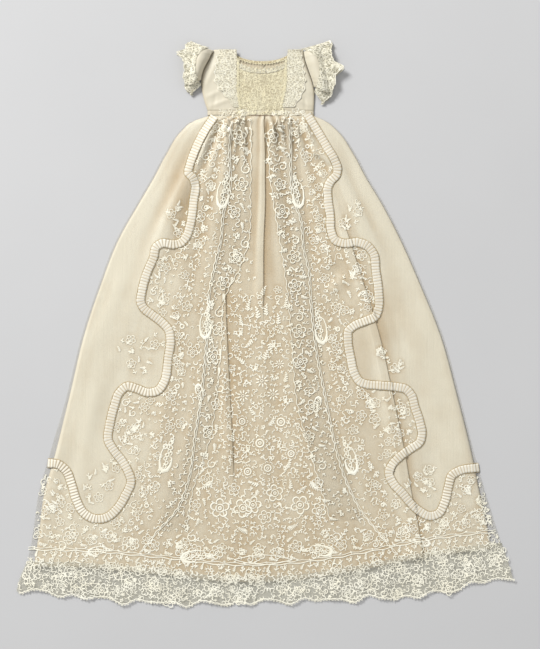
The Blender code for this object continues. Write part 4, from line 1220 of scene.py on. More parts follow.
def scatter(inside, step, kinds, size, seed_value, density, full=None, low=FIELD_LOW, high=FIELD_HIGH):
    """Small motifs on a shaken triangular lattice, kept where inside(x, y) is true and nothing lies yet."""
    random = np.random.default_rng(seed_value)
    x, y = np.meshgrid(np.arange(low[0], high[0], step), np.arange(low[1], high[1], step * 0.87))
    x = x + (np.arange(x.shape[0]) % 2)[:, None] * step / 2
    x, y = ((v + random.uniform(-0.34, 0.34, v.shape) * step).reshape(-1) for v in (x, y))
    kind = random.integers(0, len(kinds), len(x))
    turn, scale = random.uniform(0, 360, len(x)), size * random.uniform(0.75, 1.25, len(x))
    hand = random.choice((-1.0, 1.0), len(x))
    keep = inside(x, y) & (random.random(len(x)) < density)
    if full is not None:
        cell = cells_of(np.stack([x, y], -1))
        keep &= ~full[cell[:, 0], cell[:, 1]]
    strokes = []
    for k, name in enumerate(kinds):
        pick = keep & (kind == k)
        strokes += placed(name, x[pick], y[pick], turn[pick], scale[pick], hand[pick])
    return strokes


print("placing helpers ready")

# %% [markdown]
# Each stroke becomes a bar with three long sides. All the bars of a piece are one mesh, worked out at once
# for every stroke with the same number of points. The threads follow whatever surface they are given.

# %% Turning strokes into threads
def sew(name, strokes, surface, material, lift=0.00015, stand=0.55):
    """One mesh of three-sided bars from all strokes.

    surface gives the point and the normal for a place on the flat cloth. Each bar floats lift metres over
    it, and its top stands up by its half width times stand, or by THREAD_MOST if that is less.
    """
    groups = {}
    for points, half in strokes:
        groups.setdefault(points.shape[1], []).append((points, half))
    all_points, all_quads, all_triangles, base = [], [], [], 0
    for count, members in sorted(groups.items()):
        plan = np.concatenate([points for points, _ in members])
        half = np.concatenate([width for _, width in members])
        run = np.gradient(plan, axis=1)
        run /= np.maximum(np.linalg.norm(run, axis=-1, keepdims=True), 1e-9)
        aside = np.stack([-run[..., 1], run[..., 0]], -1) * half[..., None]
        (left, up), (middle, _), (right, _) = surface(plan + aside), surface(plan), surface(plan - aside)
        rise = np.minimum(stand * half, THREAD_MOST)[..., None]
        top = middle + up * (lift + rise)
        section = np.stack([left + up * lift, top, right + up * lift], 2)
        all_points.append(section.reshape(-1, 3))
        start = base + np.arange(len(plan))[:, None] * count * 3 + np.arange(count - 1)[None, :] * 3
        for a, b in ((0, 1), (1, 2), (2, 0)):
            side_faces = np.stack([start + a, start + b, start + b + 3, start + a + 3], -1)
            all_quads.append(side_faces.reshape(-1, 4))
        first = base + np.arange(len(plan)) * count * 3
        last = first + (count - 1) * 3
        all_triangles.append(np.stack([first, first + 2, first + 1], -1))
        all_triangles.append(np.stack([last, last + 1, last + 2], -1))
        base += len(plan) * count * 3
    face_groups = [np.concatenate(all_quads), np.concatenate(all_triangles)]
    mesh = filled_mesh(name, np.concatenate(all_points), face_groups)
    mesh.shade_flat()
    return add_piece(name, mesh, material)


def lying_on(height):
    """The surface for threads that lie on a sheet: the sheet's height, and straight up everywhere."""
    def place(plan):
        x, y = plan[..., 0], plan[..., 1]
        up = np.zeros(plan.shape[:-1] + (3,))
        up[..., 2] = 1.0
        return np.stack([x, y, height(x, y)], -1), up
    return place


on_skirt = lying_on(lace_ground)
on_flounce = lying_on(flounce_top)
print("threads can be sewn")

# %% [markdown]
# ## The lace figures of the skirt
# The design has an order. A double cord runs down each side band, with crescents hanging on it and flower
# chains beside it. A panel of sprays, daisies and roses fills the middle. A border with its own cord runs
# above the hem. The guide curves are short lists of points in metres, and each side is drawn on its own,
# because a laid gown is never quite even.

# %% Guide curves
CORDS = {
    "left": ((-0.060, 0.362), (-0.064, 0.310), (-0.064, 0.235), (-0.0747, 0.197), (-0.080, 0.145),
             (-0.089, 0.109), (-0.0999, 0.0585), (-0.1035, -0.0135), (-0.109, -0.0765), (-0.116, -0.1395),
             (-0.127, -0.2115), (-0.1377, -0.2835), (-0.1593, -0.3375), (-0.1917, -0.3735),
             (-0.2241, -0.4131)),
    "right": ((0.044, 0.362), (0.0459, 0.310), (0.0459, 0.2745), (0.0513, 0.2205), (0.0639, 0.1845),
              (0.0693, 0.1305), (0.0783, 0.0945), (0.0819, 0.0405), (0.0873, -0.0135), (0.0945, -0.0675),
              (0.1035, -0.1125), (0.1125, -0.1575), (0.1233, -0.2115), (0.1449, -0.2835), (0.1719, -0.3375),
              (0.2079, -0.3825), (0.2349, -0.4149)),
}
INNER = {
    "left": ((-0.040, 0.350), (-0.0423, 0.2835), (-0.0500, 0.2205), (-0.0477, 0.1881), (-0.0400, 0.1485),
             (-0.0500, 0.1161), (-0.0657, 0.0765), (-0.0850, 0.0405), (-0.0860, -0.0315),
             (-0.0890, -0.1035), (-0.0909, -0.1575), (-0.0960, -0.2115), (-0.1040, -0.2655),
             (-0.1161, -0.3195), (-0.1341, -0.3735), (-0.1521, -0.4095)),
    "right": ((0.0189, 0.350), (0.0189, 0.3105), (0.0243, 0.2655), (0.0225, 0.2385), (0.0351, 0.2151),
              (0.0369, 0.1881), (0.0459, 0.1485), (0.0495, 0.1089), (0.0603, 0.0675), (0.0549, 0.0135),
              (0.0585, -0.0225), (0.0693, -0.0675), (0.0747, -0.1125), (0.0801, -0.1485), (0.0819, -0.1935),
              (0.0963, -0.2385), (0.0909, -0.2925), (0.1089, -0.3465), (0.1269, -0.4005)),
}
OUTER = {
    "left": ((-0.080, 0.352), (-0.088, 0.310), (-0.0945, 0.2727), (-0.107, 0.2205), (-0.116, 0.1665),
             (-0.134, 0.1125), (-0.143, 0.0405), (-0.1557, -0.0315), (-0.1600, -0.1035), (-0.172, -0.1755),
             (-0.190, -0.2475), (-0.213, -0.3195), (-0.251, -0.3915)),
    "right": ((0.064, 0.350), (0.073, 0.315), (0.0855, 0.2835), (0.0909, 0.2565), (0.0963, 0.2205),
              (0.1035, 0.1755), (0.1035, 0.1305), (0.1179, 0.0585), (0.1269, 0.0045), (0.1269, -0.0405),
              (0.1359, -0.1035), (0.1449, -0.1485), (0.1539, -0.1845), (0.1719, -0.2385), (0.1935, -0.2835),
              (0.2079, -0.3285), (0.2439, -0.3735)),
}
# Horns that hang on the cords: x, y, turn in degrees, size.
CRESCENTS = {
    "left": ((-0.0765, 0.2180, -8, 0.024), (-0.1071, -0.0170, -4, 0.023), (-0.1180, -0.1180, 190, 0.015),
             (-0.1800, -0.2560, -14, 0.025), (-0.3090, -0.4120, -80, 0.017), (-0.1390, -0.4220, -82, 0.023)),
    "right": ((0.0620, 0.2180, 6, 0.023), (0.1035, -0.0260, 8, 0.024), (0.0960, -0.1400, 170, 0.014),
              (0.1584, -0.2600, 14, 0.025), (0.1120, -0.4110, 84, 0.021), (0.2900, -0.3960, 76, 0.016)),
}
RIBBONS = {
    "left": (
        (-0.090, 0.370), (-0.108, 0.343), (-0.124, 0.311), (-0.135, 0.279), (-0.137, 0.270),
        (-0.128, 0.259), (-0.124, 0.246), (-0.127, 0.221), (-0.135, 0.169), (-0.140, 0.155),
        (-0.151, 0.143), (-0.163, 0.140), (-0.184, 0.142), (-0.194, 0.136), (-0.199, 0.117),
        (-0.211, 0.089), (-0.220, 0.056), (-0.222, 0.036), (-0.217, 0.026), (-0.202, 0.014),
        (-0.184, 0.000), (-0.172, -0.014), (-0.169, -0.031), (-0.173, -0.063), (-0.182, -0.110),
        (-0.190, -0.121), (-0.209, -0.126), (-0.230, -0.119), (-0.247, -0.115), (-0.260, -0.125),
        (-0.270, -0.150), (-0.278, -0.183), (-0.281, -0.211), (-0.272, -0.228), (-0.256, -0.249),
        (-0.246, -0.266), (-0.240, -0.285), (-0.250, -0.311), (-0.266, -0.336), (-0.283, -0.350),
        (-0.305, -0.353), (-0.324, -0.343), (-0.338, -0.319), (-0.347, -0.290), (-0.357, -0.266),
        (-0.371, -0.255), (-0.390, -0.253),
    ),
    "right": (
        (0.077, 0.374), (0.086, 0.359), (0.098, 0.339), (0.112, 0.315), (0.126, 0.291),
        (0.131, 0.276), (0.129, 0.265), (0.119, 0.254), (0.114, 0.244), (0.114, 0.221),
        (0.118, 0.191), (0.120, 0.163), (0.127, 0.148), (0.143, 0.142), (0.167, 0.144),
        (0.185, 0.137), (0.196, 0.123), (0.200, 0.093), (0.205, 0.056), (0.205, 0.026),
        (0.199, 0.011), (0.182, 0.003), (0.161, -0.006), (0.151, -0.015), (0.150, -0.031),
        (0.155, -0.064), (0.162, -0.092), (0.171, -0.106), (0.184, -0.111), (0.205, -0.113),
        (0.237, -0.116), (0.254, -0.120), (0.264, -0.131), (0.270, -0.151), (0.279, -0.179),
        (0.283, -0.200), (0.279, -0.215), (0.264, -0.226), (0.243, -0.241), (0.229, -0.256),
        (0.224, -0.270), (0.232, -0.290), (0.247, -0.306), (0.263, -0.325), (0.280, -0.340),
        (0.298, -0.348), (0.312, -0.344), (0.324, -0.323), (0.331, -0.294), (0.337, -0.275),
        (0.352, -0.266), (0.386, -0.261),
    ),
}


RIBBON_CLEAR = 0.0115
WAYS = {"left": -1, "right": 1}
SEEDS = {"bands": {"left": 11, "right": 37}, "ribbons": {"left": 7, "right": 8},
         "berthas": {"left": 101, "right": 102}, "bertha figures": {"left": 102, "right": 104},
         "cuffs": {"left": 131, "right": 132}}


def away_from_ribbons(x, y, clear=RIBBON_CLEAR):
    """True where a place is further than clear from both ribbons' centre lines."""
    far = np.ones(np.shape(x), bool)
    for route in RIBBONS.values():
        line, _ = smooth_route(route, 0.006)
        for px, py in line:
            far &= (x - px) ** 2 + (y - py) ** 2 > clear ** 2
    return far


def inside_of(corners):
    """A test for being inside a closed outline: a ray to the right crosses it an odd number of times."""
    corners = np.asarray(corners, float)
    def test(x, y):
        found = np.zeros(np.shape(x), bool)
        for (x0, y0), (x1, y1) in zip(corners, np.roll(corners, -1, axis=0)):
            if y0 == y1:
                continue
            crosses = ((y0 > y) != (y1 > y)) & (x < x0 + (y - y0) * (x1 - x0) / (y1 - y0))
            found ^= crosses
        return found
    return test


FIELD_FOOT = ((-0.425, -0.262), (-0.432, -0.432), (0.0, -0.460), (0.428, -0.405), (0.420, -0.268))
FIELD = inside_of(RIBBONS["left"] + FIELD_FOOT + RIBBONS["right"][::-1])


def plain_strip(x, y):
    """The strip of plain silk down the middle from the waist, where the lace's two bands part."""
    left = np.interp(y, (0.10, 0.14, 0.20, 0.28, 0.37), (-0.012, -0.034, -0.025, -0.029, -0.030))
    right = np.interp(y, (0.02, 0.10, 0.20, 0.30, 0.37), (0.030, 0.034, 0.018, 0.010, 0.012))
    return (x > left) & (x < right) & (y > 0.055 + 0.6 * np.abs(x - 0.012))


print("guide curves ready")

# %% [markdown]
# Each band gets its cord, its crescents, and three chains: dense leaf sprays along the inner edge, small
# curls by the cord, and roses with sprigs outside.

# %% The side bands' figures
# The chains of a band: curve, step, motifs, size, distance aside, lean in degrees.
BAND_CHAINS = (
    (INNER, 0.0170, ("spray", "rose", "fern", "blossom", "scroll", "spray", "rose", "sprig"),
     0.0118, 0.0052, 38),
    (INNER, 0.0105, ("sprig", "curl", "sprig", "seed"), 0.0062, 0.0115, 60),
    (OUTER, 0.0185, ("rose", "spray", "eyelet", "rose", "blossom", "curl"), 0.0088, 0.0050, 30),
    (OUTER, 0.0090, ("sprig", "curl", "seed", "wave"), 0.0056, 0.0095, 70),
    (CORDS, 0.0085, ("curl", "sprig", "wave", "curl", "seed"), 0.0052, 0.0075, 65),
)


def band_figures(side):
    """The strokes of one band: a wavy cord and a plain one beside it, the horns, and the chains."""
    strokes = cord(CORDS[side], 0.0008, 0.0009, 60.0)
    strokes += cord([(px + 0.0030, py) for px, py in CORDS[side]], 0.00055)
    for cx, cy, turn, size in CRESCENTS[side]:
        strokes += placed("crescent", cx, cy, turn, size, -WAYS[side])
    for i, (curves, step, kinds, size, aside, lean) in enumerate(BAND_CHAINS):
        strokes += chain(curves[side], step, kinds, size, aside, lean, -WAYS[side],
                         seed_value=SEEDS["bands"][side] + i)
    table = BANDS[side]
    strokes += cord(np.stack([table["inner"], table["y"]], -1)[::-1], 0.0006, 0.0012, 48.0)
    return strokes


def beside_ribbon(side, aside):
    """A line inside a ribbon, this far from its centre line."""
    line, run = smooth_route(RIBBONS[side], 0.012)
    return line + np.stack([-run[:, 1], run[:, 0]], -1) * (-WAYS[side] * aside)


band_strokes = {side: band_figures(side) for side in BANDS}
for side, strokes in band_strokes.items():
    total = sum(points.shape[0] * (6 * (points.shape[1] - 1) + 2) for points, _ in strokes)
    print(side, total, "triangles")

# %% [markdown]
# The middle panel starts below the plain strip of silk. Its flowers are placed one by one, and leaf sprays
# climb between them.

# %% The middle panel's figures
MIDDLE = {
    "daisy": ((-0.0045, -0.105, 0, 0.0115), (-0.0387, -0.132, 20, 0.0110), (0.0153, -0.129, 40, 0.0110),
              (-0.052, -0.046, 0, 0.0080), (0.0270, -0.075, 10, 0.0085)),
    "ring_flower": ((0.0297, -0.179, 0, 0.0135), (-0.0081, -0.217, 20, 0.0140), (-0.0400, -0.178, 0, 0.0105),
                    (0.0060, -0.262, 10, 0.0120), (-0.030, -0.268, 35, 0.0120), (0.048, -0.236, 0, 0.0110)),
    "rose": ((-0.0801, -0.334, 0, 0.0170), (-0.0387, -0.334, 30, 0.0165), (-0.0207, -0.328, 60, 0.0150),
             (0.0189, -0.307, 10, 0.0150), (0.0639, -0.328, 40, 0.0165), (0.0010, -0.350, 15, 0.0120),
             (-0.0520, 0.120, 0, 0.0110), (-0.055, -0.300, 0, 0.0110)),
    "fern": ((-0.0945, -0.285, 150, 0.0200), (0.0819, -0.285, 200, 0.0200), (-0.030, -0.375, 95, 0.017),
             (0.040, -0.370, -95, 0.017), (-0.012, -0.300, 180, 0.014)),
    "spray": ((-0.030, 0.020, 10, 0.0170), (-0.012, 0.006, -12, 0.0180), (0.004, 0.012, 20, 0.0170),
              (0.024, -0.004, -20, 0.0160), (-0.022, -0.030, 160, 0.0160), (0.010, -0.036, 170, 0.0170),
              (-0.040, -0.006, 30, 0.0150), (0.036, 0.026, -30, 0.0140), (-0.004, 0.048, 0, 0.0150),
              (-0.036, -0.075, 30, 0.0160), (0.000, -0.068, 0, 0.0170), (0.036, -0.108, -30, 0.0150),
              (-0.016, -0.166, 60, 0.0150), (0.008, -0.186, -50, 0.0150), (-0.056, -0.215, 20, 0.0150),
              (0.040, -0.262, -40, 0.0150), (-0.010, -0.292, 90, 0.0150), (0.046, -0.300, -20, 0.0140)),
    "blossom": ((-0.044, -0.028, 20, 0.0150), (0.018, -0.050, -20, 0.0150), (-0.020, -0.090, 0, 0.0140),
                (0.040, -0.150, -15, 0.0150), (-0.032, -0.238, 15, 0.0150), (0.026, -0.230, -30, 0.0140)),
}

middle_strokes = []
for name, places in MIDDLE.items():
    px, py, turn, size = np.array(places).T
    middle_strokes += placed(name, px, py, turn, size, np.where(np.arange(len(px)) % 2, -1.0, 1.0))
print("middle panel:", sum(len(places) for places in MIDDLE.values()), "motifs")

# %% [markdown]
# The border follows the hem: a cord with a flat oval in its middle, a row of roses and sprays above it, and
# sprigs below it.

# %% The border's figures
def border_line(lift, count=24):
    """Points a constant height above the silk's hem, from side to side."""
    x = np.linspace(-0.425, 0.418, count)
    return np.stack([x, satin_hem(x) + lift], -1)


border_strokes = cord(border_line(0.030), 0.0009, 0.0010, 26.0)
border_strokes += cord(border_line(0.0340), 0.00065, 0.0009, 33.0)
oval_x = np.linspace(-0.055, 0.050, 9)
oval_bulge = 0.0085 * np.sin(np.linspace(0, math.pi, 9))
for way in (-1.0, 1.0):
    border_strokes += cord(np.stack([oval_x, -0.4265 + way * oval_bulge], -1), 0.0008)
border_strokes += chain(border_line(0.047), 0.0190, ("rose", "spray", "blossom", "scroll", "rose", "fern"),
                        0.0112, 0.004, 40, seed_value=61)
border_strokes += chain(border_line(0.064), 0.0165, ("spray", "rose", "sprig", "blossom"), 0.0098, 0.004, 50,
                        seed_value=62)
border_strokes += chain(border_line(0.040), 0.0095, ("curl", "sprig", "wave", "seed"), 0.0058, 0.003, 70,
                        seed_value=63)
border_strokes += chain(border_line(0.016, count=30), 0.0150, ("sprig", "spray", "sprig", "blossom"),
                        0.0100, 0.001, 90, sides=False, seed_value=64)
print("border:", sum(len(points) for points, _ in border_strokes), "strokes")

# %% [markdown]
# Outside the ribbons, small sprays lie in the bays. Everything between the figures is filled with seeds,
# curls and sprigs on a shaken lattice, kept only where no figure lies yet.

# %% Sprays in the bays, and the filling
# Where sprays lie outside the ribbons: x, y, and how far they spread.
BAYS = {
    "left": ((-0.236, -0.050, 0.0320), (-0.222, -0.075, 0.0280), (-0.204, -0.040, 0.0240),
             (-0.158, 0.195, 0.0200), (-0.150, 0.170, 0.0160), (-0.236, -0.175, 0.0300),
             (-0.215, -0.200, 0.0260), (-0.240, -0.215, 0.0240), (-0.298, -0.285, 0.0300),
             (-0.280, -0.262, 0.0240), (-0.310, -0.310, 0.0240), (-0.385, -0.300, 0.0240),
             (-0.375, -0.325, 0.0240), (-0.392, -0.345, 0.0200), (-0.200, 0.085, 0.0200),
             (-0.190, 0.045, 0.0220)),
    "right": ((0.215, -0.060, 0.0240), (0.232, -0.085, 0.0200), (0.162, 0.200, 0.0190),
              (0.150, 0.175, 0.0160), (0.240, -0.160, 0.0260), (0.222, -0.190, 0.0240),
              (0.285, -0.270, 0.0300), (0.300, -0.300, 0.0240), (0.270, -0.290, 0.0200),
              (0.372, -0.300, 0.0240), (0.382, -0.330, 0.0220), (0.392, -0.355, 0.0180),
              (0.165, 0.085, 0.0200), (0.180, 0.045, 0.0200), (0.195, -0.150, 0.0180)),
}
BAY_KINDS = ("spray", "blossom", "spray", "rose", "sprig", "fern", "sprig")
FIELD_HEM = -0.405
bay_strokes = []
random = np.random.default_rng(5)
for side, places in BAYS.items():
    for px, py, reach in places:
        angle = random.uniform(0, 360, len(BAY_KINDS))
        off = reach * np.sqrt(random.random(len(BAY_KINDS))) * 0.75
        at_x, at_y = px + off * np.cos(np.radians(angle)), py + off * np.sin(np.radians(angle))
        clear = away_from_ribbons(at_x, at_y, 0.0125)
        for k, kind in enumerate(BAY_KINDS):
            if clear[k]:
                hand = 1.0 if k % 2 else -1.0
                bay_strokes += placed(kind, at_x[k], at_y[k], angle[k] * 0.5 - 90, 0.0088, hand)

for side, start in (("left", 91), ("right", 95)):
    for aside, step, size in ((0.0165, 0.0165, 0.0088), (0.0300, 0.0180, 0.0084)):
        route = beside_ribbon(side, aside)
        route = route[route[:, 1] > FIELD_HEM]
        bay_strokes += chain(route, step, ("blossom", "rose", "spray", "sprig", "scroll", "sprig"), size,
                             0.003, 35, -WAYS[side], seed_value=start + int(aside * 1000))

figures = band_strokes["left"] + band_strokes["right"] + middle_strokes + border_strokes + bay_strokes


def lace_field(x, y):
    """The whole lace field: between the ribbons and clear of them, off the plain strip, above the hem."""
    return FIELD(x, y) & ~plain_strip(x, y) & away_from_ribbons(x, y) & (y > satin_hem(x) + 0.004)


def dense_places(x, y):
    """The parts that are worked most densely: the bands, the middle panel and the border."""
    near_band = np.zeros(np.shape(x), bool)
    for side in BANDS:
        for route in (CORDS[side], INNER[side], OUTER[side]):
            route_x, route_y = np.array(route)[::-1].T
            near_band |= np.abs(x - np.interp(y, route_y, route_x)) < 0.016
    centre = (np.abs(x) < 0.062 + 0.1 * np.clip(-y, 0, 1)) & (y < 0.05)
    foot = y < satin_hem(x) + 0.075
    return lace_field(x, y) & (near_band | centre | foot)


filling = scatter(dense_places, 0.0086, ("sprig", "curl", "sprig", "wave", "sprig"), 0.0066, 71, 0.85,
                  occupied(figures, 1))
filling += scatter(lace_field, 0.0240, ("spray", "blossom", "rose", "spray"), 0.0095, 73, 0.75,
                   occupied(figures + filling, 3))
filling += scatter(lace_field, 0.0120, ("sprig", "sprig", "curl"), 0.0066, 72, 0.50,
                   occupied(figures + filling, 1))
print("filling:", sum(len(points) for points, _ in filling), "strokes")

# %% [markdown]
# The strokes are sewn on in six pieces, without those that a ribbon hides. Under close threads the silk is given
# painted shade: its tan is raised by a blurred map of the strokes.

# %% Sewing the skirt's figures
def on_net(x, y, inset):
    """True between the net's two side edges, at least inset metres from them."""
    return (x > edge("net_left", y) + inset) & (x < edge("net_right", y) - inset)


def clear_of_ribbons(strokes):
    """Leaves out strokes whose middle lies under a ribbon."""
    kept = []
    for points, half in strokes:
        x, y = points[..., 0].mean(1), points[..., 1].mean(1)
        keep = away_from_ribbons(x, y, 0.0085) & on_net(x, y, 0.003)
        if keep.any():
            kept.append((points[keep], half[keep]))
    return kept


for name, strokes in (("band_lace_left", band_strokes["left"]), ("band_lace_right", band_strokes["right"]),
                      ("middle_lace", middle_strokes), ("border_lace", border_strokes),
                      ("bay_lace", bay_strokes), ("filling_lace", filling)):
    sew(name, clear_of_ribbons(strokes), on_skirt, "lace thread")


def paint_shade_under(piece, strokes, amount):
    """Adds painted shade to the silk's tan where threads lie close together above it: a blurred map of the
    strokes.
    """
    soft = occupied(strokes, 0).astype(float)
    for _ in range(4):
        beside = np.roll(soft, 1, 0), np.roll(soft, -1, 0), np.roll(soft, 1, 1), np.roll(soft, -1, 1)
        soft = (soft + beside[0] + beside[1] + beside[2] + beside[3]) / 5
    mesh = piece.data
    place = np.empty(len(mesh.vertices) * 3, np.float32)
    mesh.vertices.foreach_get("co", place)
    cell = cells_of(place.reshape(-1, 3)[:, :2])
    shade = np.empty(len(mesh.vertices), np.float32)
    mesh.attributes["tan"].data.foreach_get("value", shade)
    shade += (amount * np.clip(soft[cell[:, 0], cell[:, 1]], 0, 1)).astype(np.float32)
    mesh.attributes["tan"].data.foreach_set("value", shade)


paint_shade_under(skirt_front, figures + filling, 0.80)

# %% [markdown]
# The flounce is worked all over in curling lines, with a cord along its edge and tiny loops beyond it.

# %% The flounce's figures
def in_flounce(x, y):
    """The part of the flounce that is worked over, a little inside its edges."""
    return on_net(x, y, 0.002) & (y < satin_hem(x) + 0.012) & (y > flounce_edge(x) + 0.002)


def beyond_silk(x, y):
    """The lower sides of the net, past the silk's edges."""
    outside = (x < edge("satin_left", y) - 0.003) | (x > edge("satin_right", y) + 0.003)
    return outside & on_net(x, y, 0.003) & (y < -0.30) & (y > satin_hem(x))


flounce_strokes = scatter(in_flounce, 0.0068, ("wave", "curl", "wave", "curl", "sprig"), 0.0062, 81, 0.85)
flounce_strokes += scatter(in_flounce, 0.030, ("rose", "scroll", "rose"), 0.0100, 82, 0.9)
edge_x = np.linspace(-0.442, 0.450, 341)
edge_line = np.stack([edge_x, flounce_edge(edge_x) + 0.0008], -1)
flounce_strokes += cut_in_strokes(edge_line, 0.0009)
picots = np.linspace(-0.440, 0.448, 170)
flounce_strokes += placed("eyelet", picots, flounce_edge(picots) - 0.0008, 0.0, 0.0036)
flounce_lace = sew("flounce_lace", flounce_strokes, on_flounce, "lace thread")
side_specks = scatter(beyond_silk, 0.0085, ("curl", "sprig", "wave"), 0.0050, 83, 0.45)
speck_lace = sew("side_lace", side_specks, on_skirt, "lace thread")

# %% [markdown]
# ## The pleated ribbons
# A silk ribbon set in knife pleats, about five millimetres each, stands on the net and turns in wide bends.
# Along the path the height is a saw tooth, so each pleat lies on the next, and painted shade darkens the groove
# where each pleat drops. A thin golden-brown cord along both edges is a painted shadow line.

# %% Ribbons
PLEAT = 0.0053
PLEAT_STEPS = 6
RIBBON_HALF = 0.0075
RIBBON_FEEL = 0.003


def ribbon_frame(route):
    """Even stations on the route, several to a pleat, with the unit vector across it."""
    line, run = smooth_route(route, PLEAT / PLEAT_STEPS)
    for _ in range(6):
        run[1:-1] = (run[:-2] + 2 * run[1:-1] + run[2:]) / 4
    run /= np.linalg.norm(run, axis=1, keepdims=True)
    return line, np.stack([-run[:, 1], run[:, 0]], -1)


def ribbon_base(x, y):
    """The highest lace ground within a few millimetres, so that the ribbon bridges small steps."""
    steps = ((0, 0), (RIBBON_FEEL, 0), (-RIBBON_FEEL, 0), (0, RIBBON_FEEL), (0, -RIBBON_FEEL))
    return np.maximum.reduce([lace_ground(x + dx, y + dy) for dx, dy in steps])


def make_ribbon(side):
    """The pleated strip: each pleat climbs from the one before it and drops at its end."""
    line, across = ribbon_frame(RIBBONS[side])
    places = np.linspace(-1.0, 1.0, 7)
    station = np.arange(len(line))
    tooth = (station % PLEAT_STEPS) / (PLEAT_STEPS - 1)
    pleat = station // PLEAT_STEPS
    random = np.random.default_rng(SEEDS["ribbons"][side])
    uneven = random.normal(0.0, 1.0, pleat.max() + 1)
    half = RIBBON_HALF * (1 + 0.025 * uneven[pleat])
    plan = line[:, None, :] + across[:, None, :] * (half[:, None] * places[None, :])[..., None]
    base = ribbon_base(plan[..., 0], plan[..., 1])
    rise = 0.0007 + 0.0011 * (1.0 - tooth)[:, None] * (1 + 0.2 * uneven[pleat][:, None])
    rise = rise * (1.0 - 0.35 * np.abs(places[None, :]) ** 4)
    grid = np.concatenate([plan, (base + rise)[..., None]], -1)
    length = station * PLEAT / PLEAT_STEPS
    flat_uv = np.stack(np.broadcast_arrays(places[None, :] * RIBBON_HALF, length[:, None]), -1)
    # Painted shade in the groove where each pleat drops, and a little at the start of the next pleat.
    tan = np.where(tooth > 0.75, 0.55, 0.0)[:, None] + np.where(tooth < 0.1, 0.10, 0.0)[:, None]
    piece = cloth(f"pleated_ribbon_{side}", grid, WALLS["ribbon"], "pleated ribbon",
                  [f"ribbon_{side}"], flat_uv=flat_uv, tan=np.repeat(tan, len(places), 1), flat=True)
    return piece, len(line) * PLEAT / PLEAT_STEPS


def ribbon_shadow_lines(side):
    """Two thin cords beside the ribbon, one on each side: a painted shadow line along its edges."""
    line, across = ribbon_frame(RIBBONS[side])
    strokes = []
    for way in (-1.0, 1.0):
        beside = line[::2] + across[::2] * way * (RIBBON_HALF + 0.0006)
        strokes += cut_in_strokes(beside, 0.00055)
    return sew(f"ribbon_shadow_line_{side}", strokes, on_skirt, "ribbon shadow thread", stand=1.2)


ribbons, ribbon_lengths, ribbon_shadow_cords = {}, {}, {}
for side in RIBBONS:
    ribbons[side], ribbon_lengths[side] = make_ribbon(side)
    ribbon_shadow_cords[side] = ribbon_shadow_lines(side)
print("ribbon lengths", {side: round(length, 3) for side, length in ribbon_lengths.items()})

# %% [markdown]
# ## The bodice
# The bodice is short: two lined satin side fronts, a front of dense yellowed lace, and two back halves that
# meet at the centre. Its front stands a few millimetres off its back, most in the middle.

# %% The bodice's plan
BODICE = {
    "y": (0.3813, 0.400, 0.415, 0.434, 0.454, 0.472, 0.4905),
    "side_left": (-0.1025, -0.1085, -0.1120, -0.1135, -0.109, -0.0998, -0.0905),
    "seam_left": (-0.047, -0.0515, -0.053, -0.053, -0.053, -0.053, -0.054),
    "seam_right": (0.034, 0.038, 0.0415, 0.0435, 0.044, 0.044, 0.046),
    "side_right": (0.0885, 0.0895, 0.0897, 0.0855, 0.0785, 0.0725, 0.0695),
}
BODICE_RISE = 0.0030
BODICE_FRONT = 0.0043
FRONT_NECK = (0.474, 0.020)
BACK_NECK = (0.484, 0.016)
STRAP_STARTS = (0.048, 0.058)
BACK_GAP = 0.0003
FRONT_EDGE_Z = 0.0026
FRONT_ROUND = 0.004


def bodice_edge(column, y):
    return through(y, BODICE["y"], BODICE[column])


def bodice_rise(x, y):
    """How far the front stands off the back: most in the middle, nothing at the sides."""
    left, right = bodice_edge("side_left", y), bodice_edge("side_right", y)
    across = np.clip(2 * (x - left) / (right - left) - 1, -1, 1)
    return BODICE_RISE * (1.0 - across ** 4)


def neck_line(x, neck):
    """The height of a round neckline at x."""
    ends, drop = neck
    left, right = bodice_edge("seam_left", ends), bodice_edge("seam_right", ends)
    across = np.clip(2 * (x - left) / (right - left) - 1, -1, 1)
    return ends - drop * (1.0 - across ** 2) ** 0.6


# Short creases: x and y of one end, x and y of the other, half width, height.
BODICE_CREASES = (
    (-0.098, 0.388, -0.060, 0.402, 0.004, 0.0012), (-0.104, 0.405, -0.074, 0.418, 0.004, 0.0010),
    (-0.106, 0.425, -0.085, 0.470, 0.005, 0.0012), (0.084, 0.388, 0.060, 0.400, 0.004, 0.0012),
    (0.084, 0.410, 0.064, 0.425, 0.004, 0.0010), (0.079, 0.440, 0.068, 0.474, 0.004, 0.0010),
    (-0.092, 0.384, -0.088, 0.410, 0.003, -0.0008), (0.074, 0.384, 0.072, 0.405, 0.003, -0.0008),
)


def bodice_top(x, y):
    """The front's height, with short creases between the waist and the armholes."""
    top = BODICE_FRONT + bodice_rise(x, y)
    for x0, y0, x1, y1, half, height in BODICE_CREASES:
        run = np.array([x1 - x0, y1 - y0])
        length = np.linalg.norm(run)
        along = ((x - x0) * run[0] + (y - y0) * run[1]) / length ** 2
        aside = ((x - x0) * -run[1] + (y - y0) * run[0]) / length
        fade = smooth_between(along, -0.25, 0.25) * (1 - smooth_between(along, 0.75, 1.25))
        top = top + height * fade * np.exp(-((aside / half) ** 2))
    return top


def rounded_rim(part, width, reach):
    """A quarter round that falls towards the edge at part 0, over reach metres of a sheet this wide."""
    inside = np.clip(part * width / reach, 0.0, 1.0)
    return np.sqrt(1.0 - (1.0 - inside) ** 2)


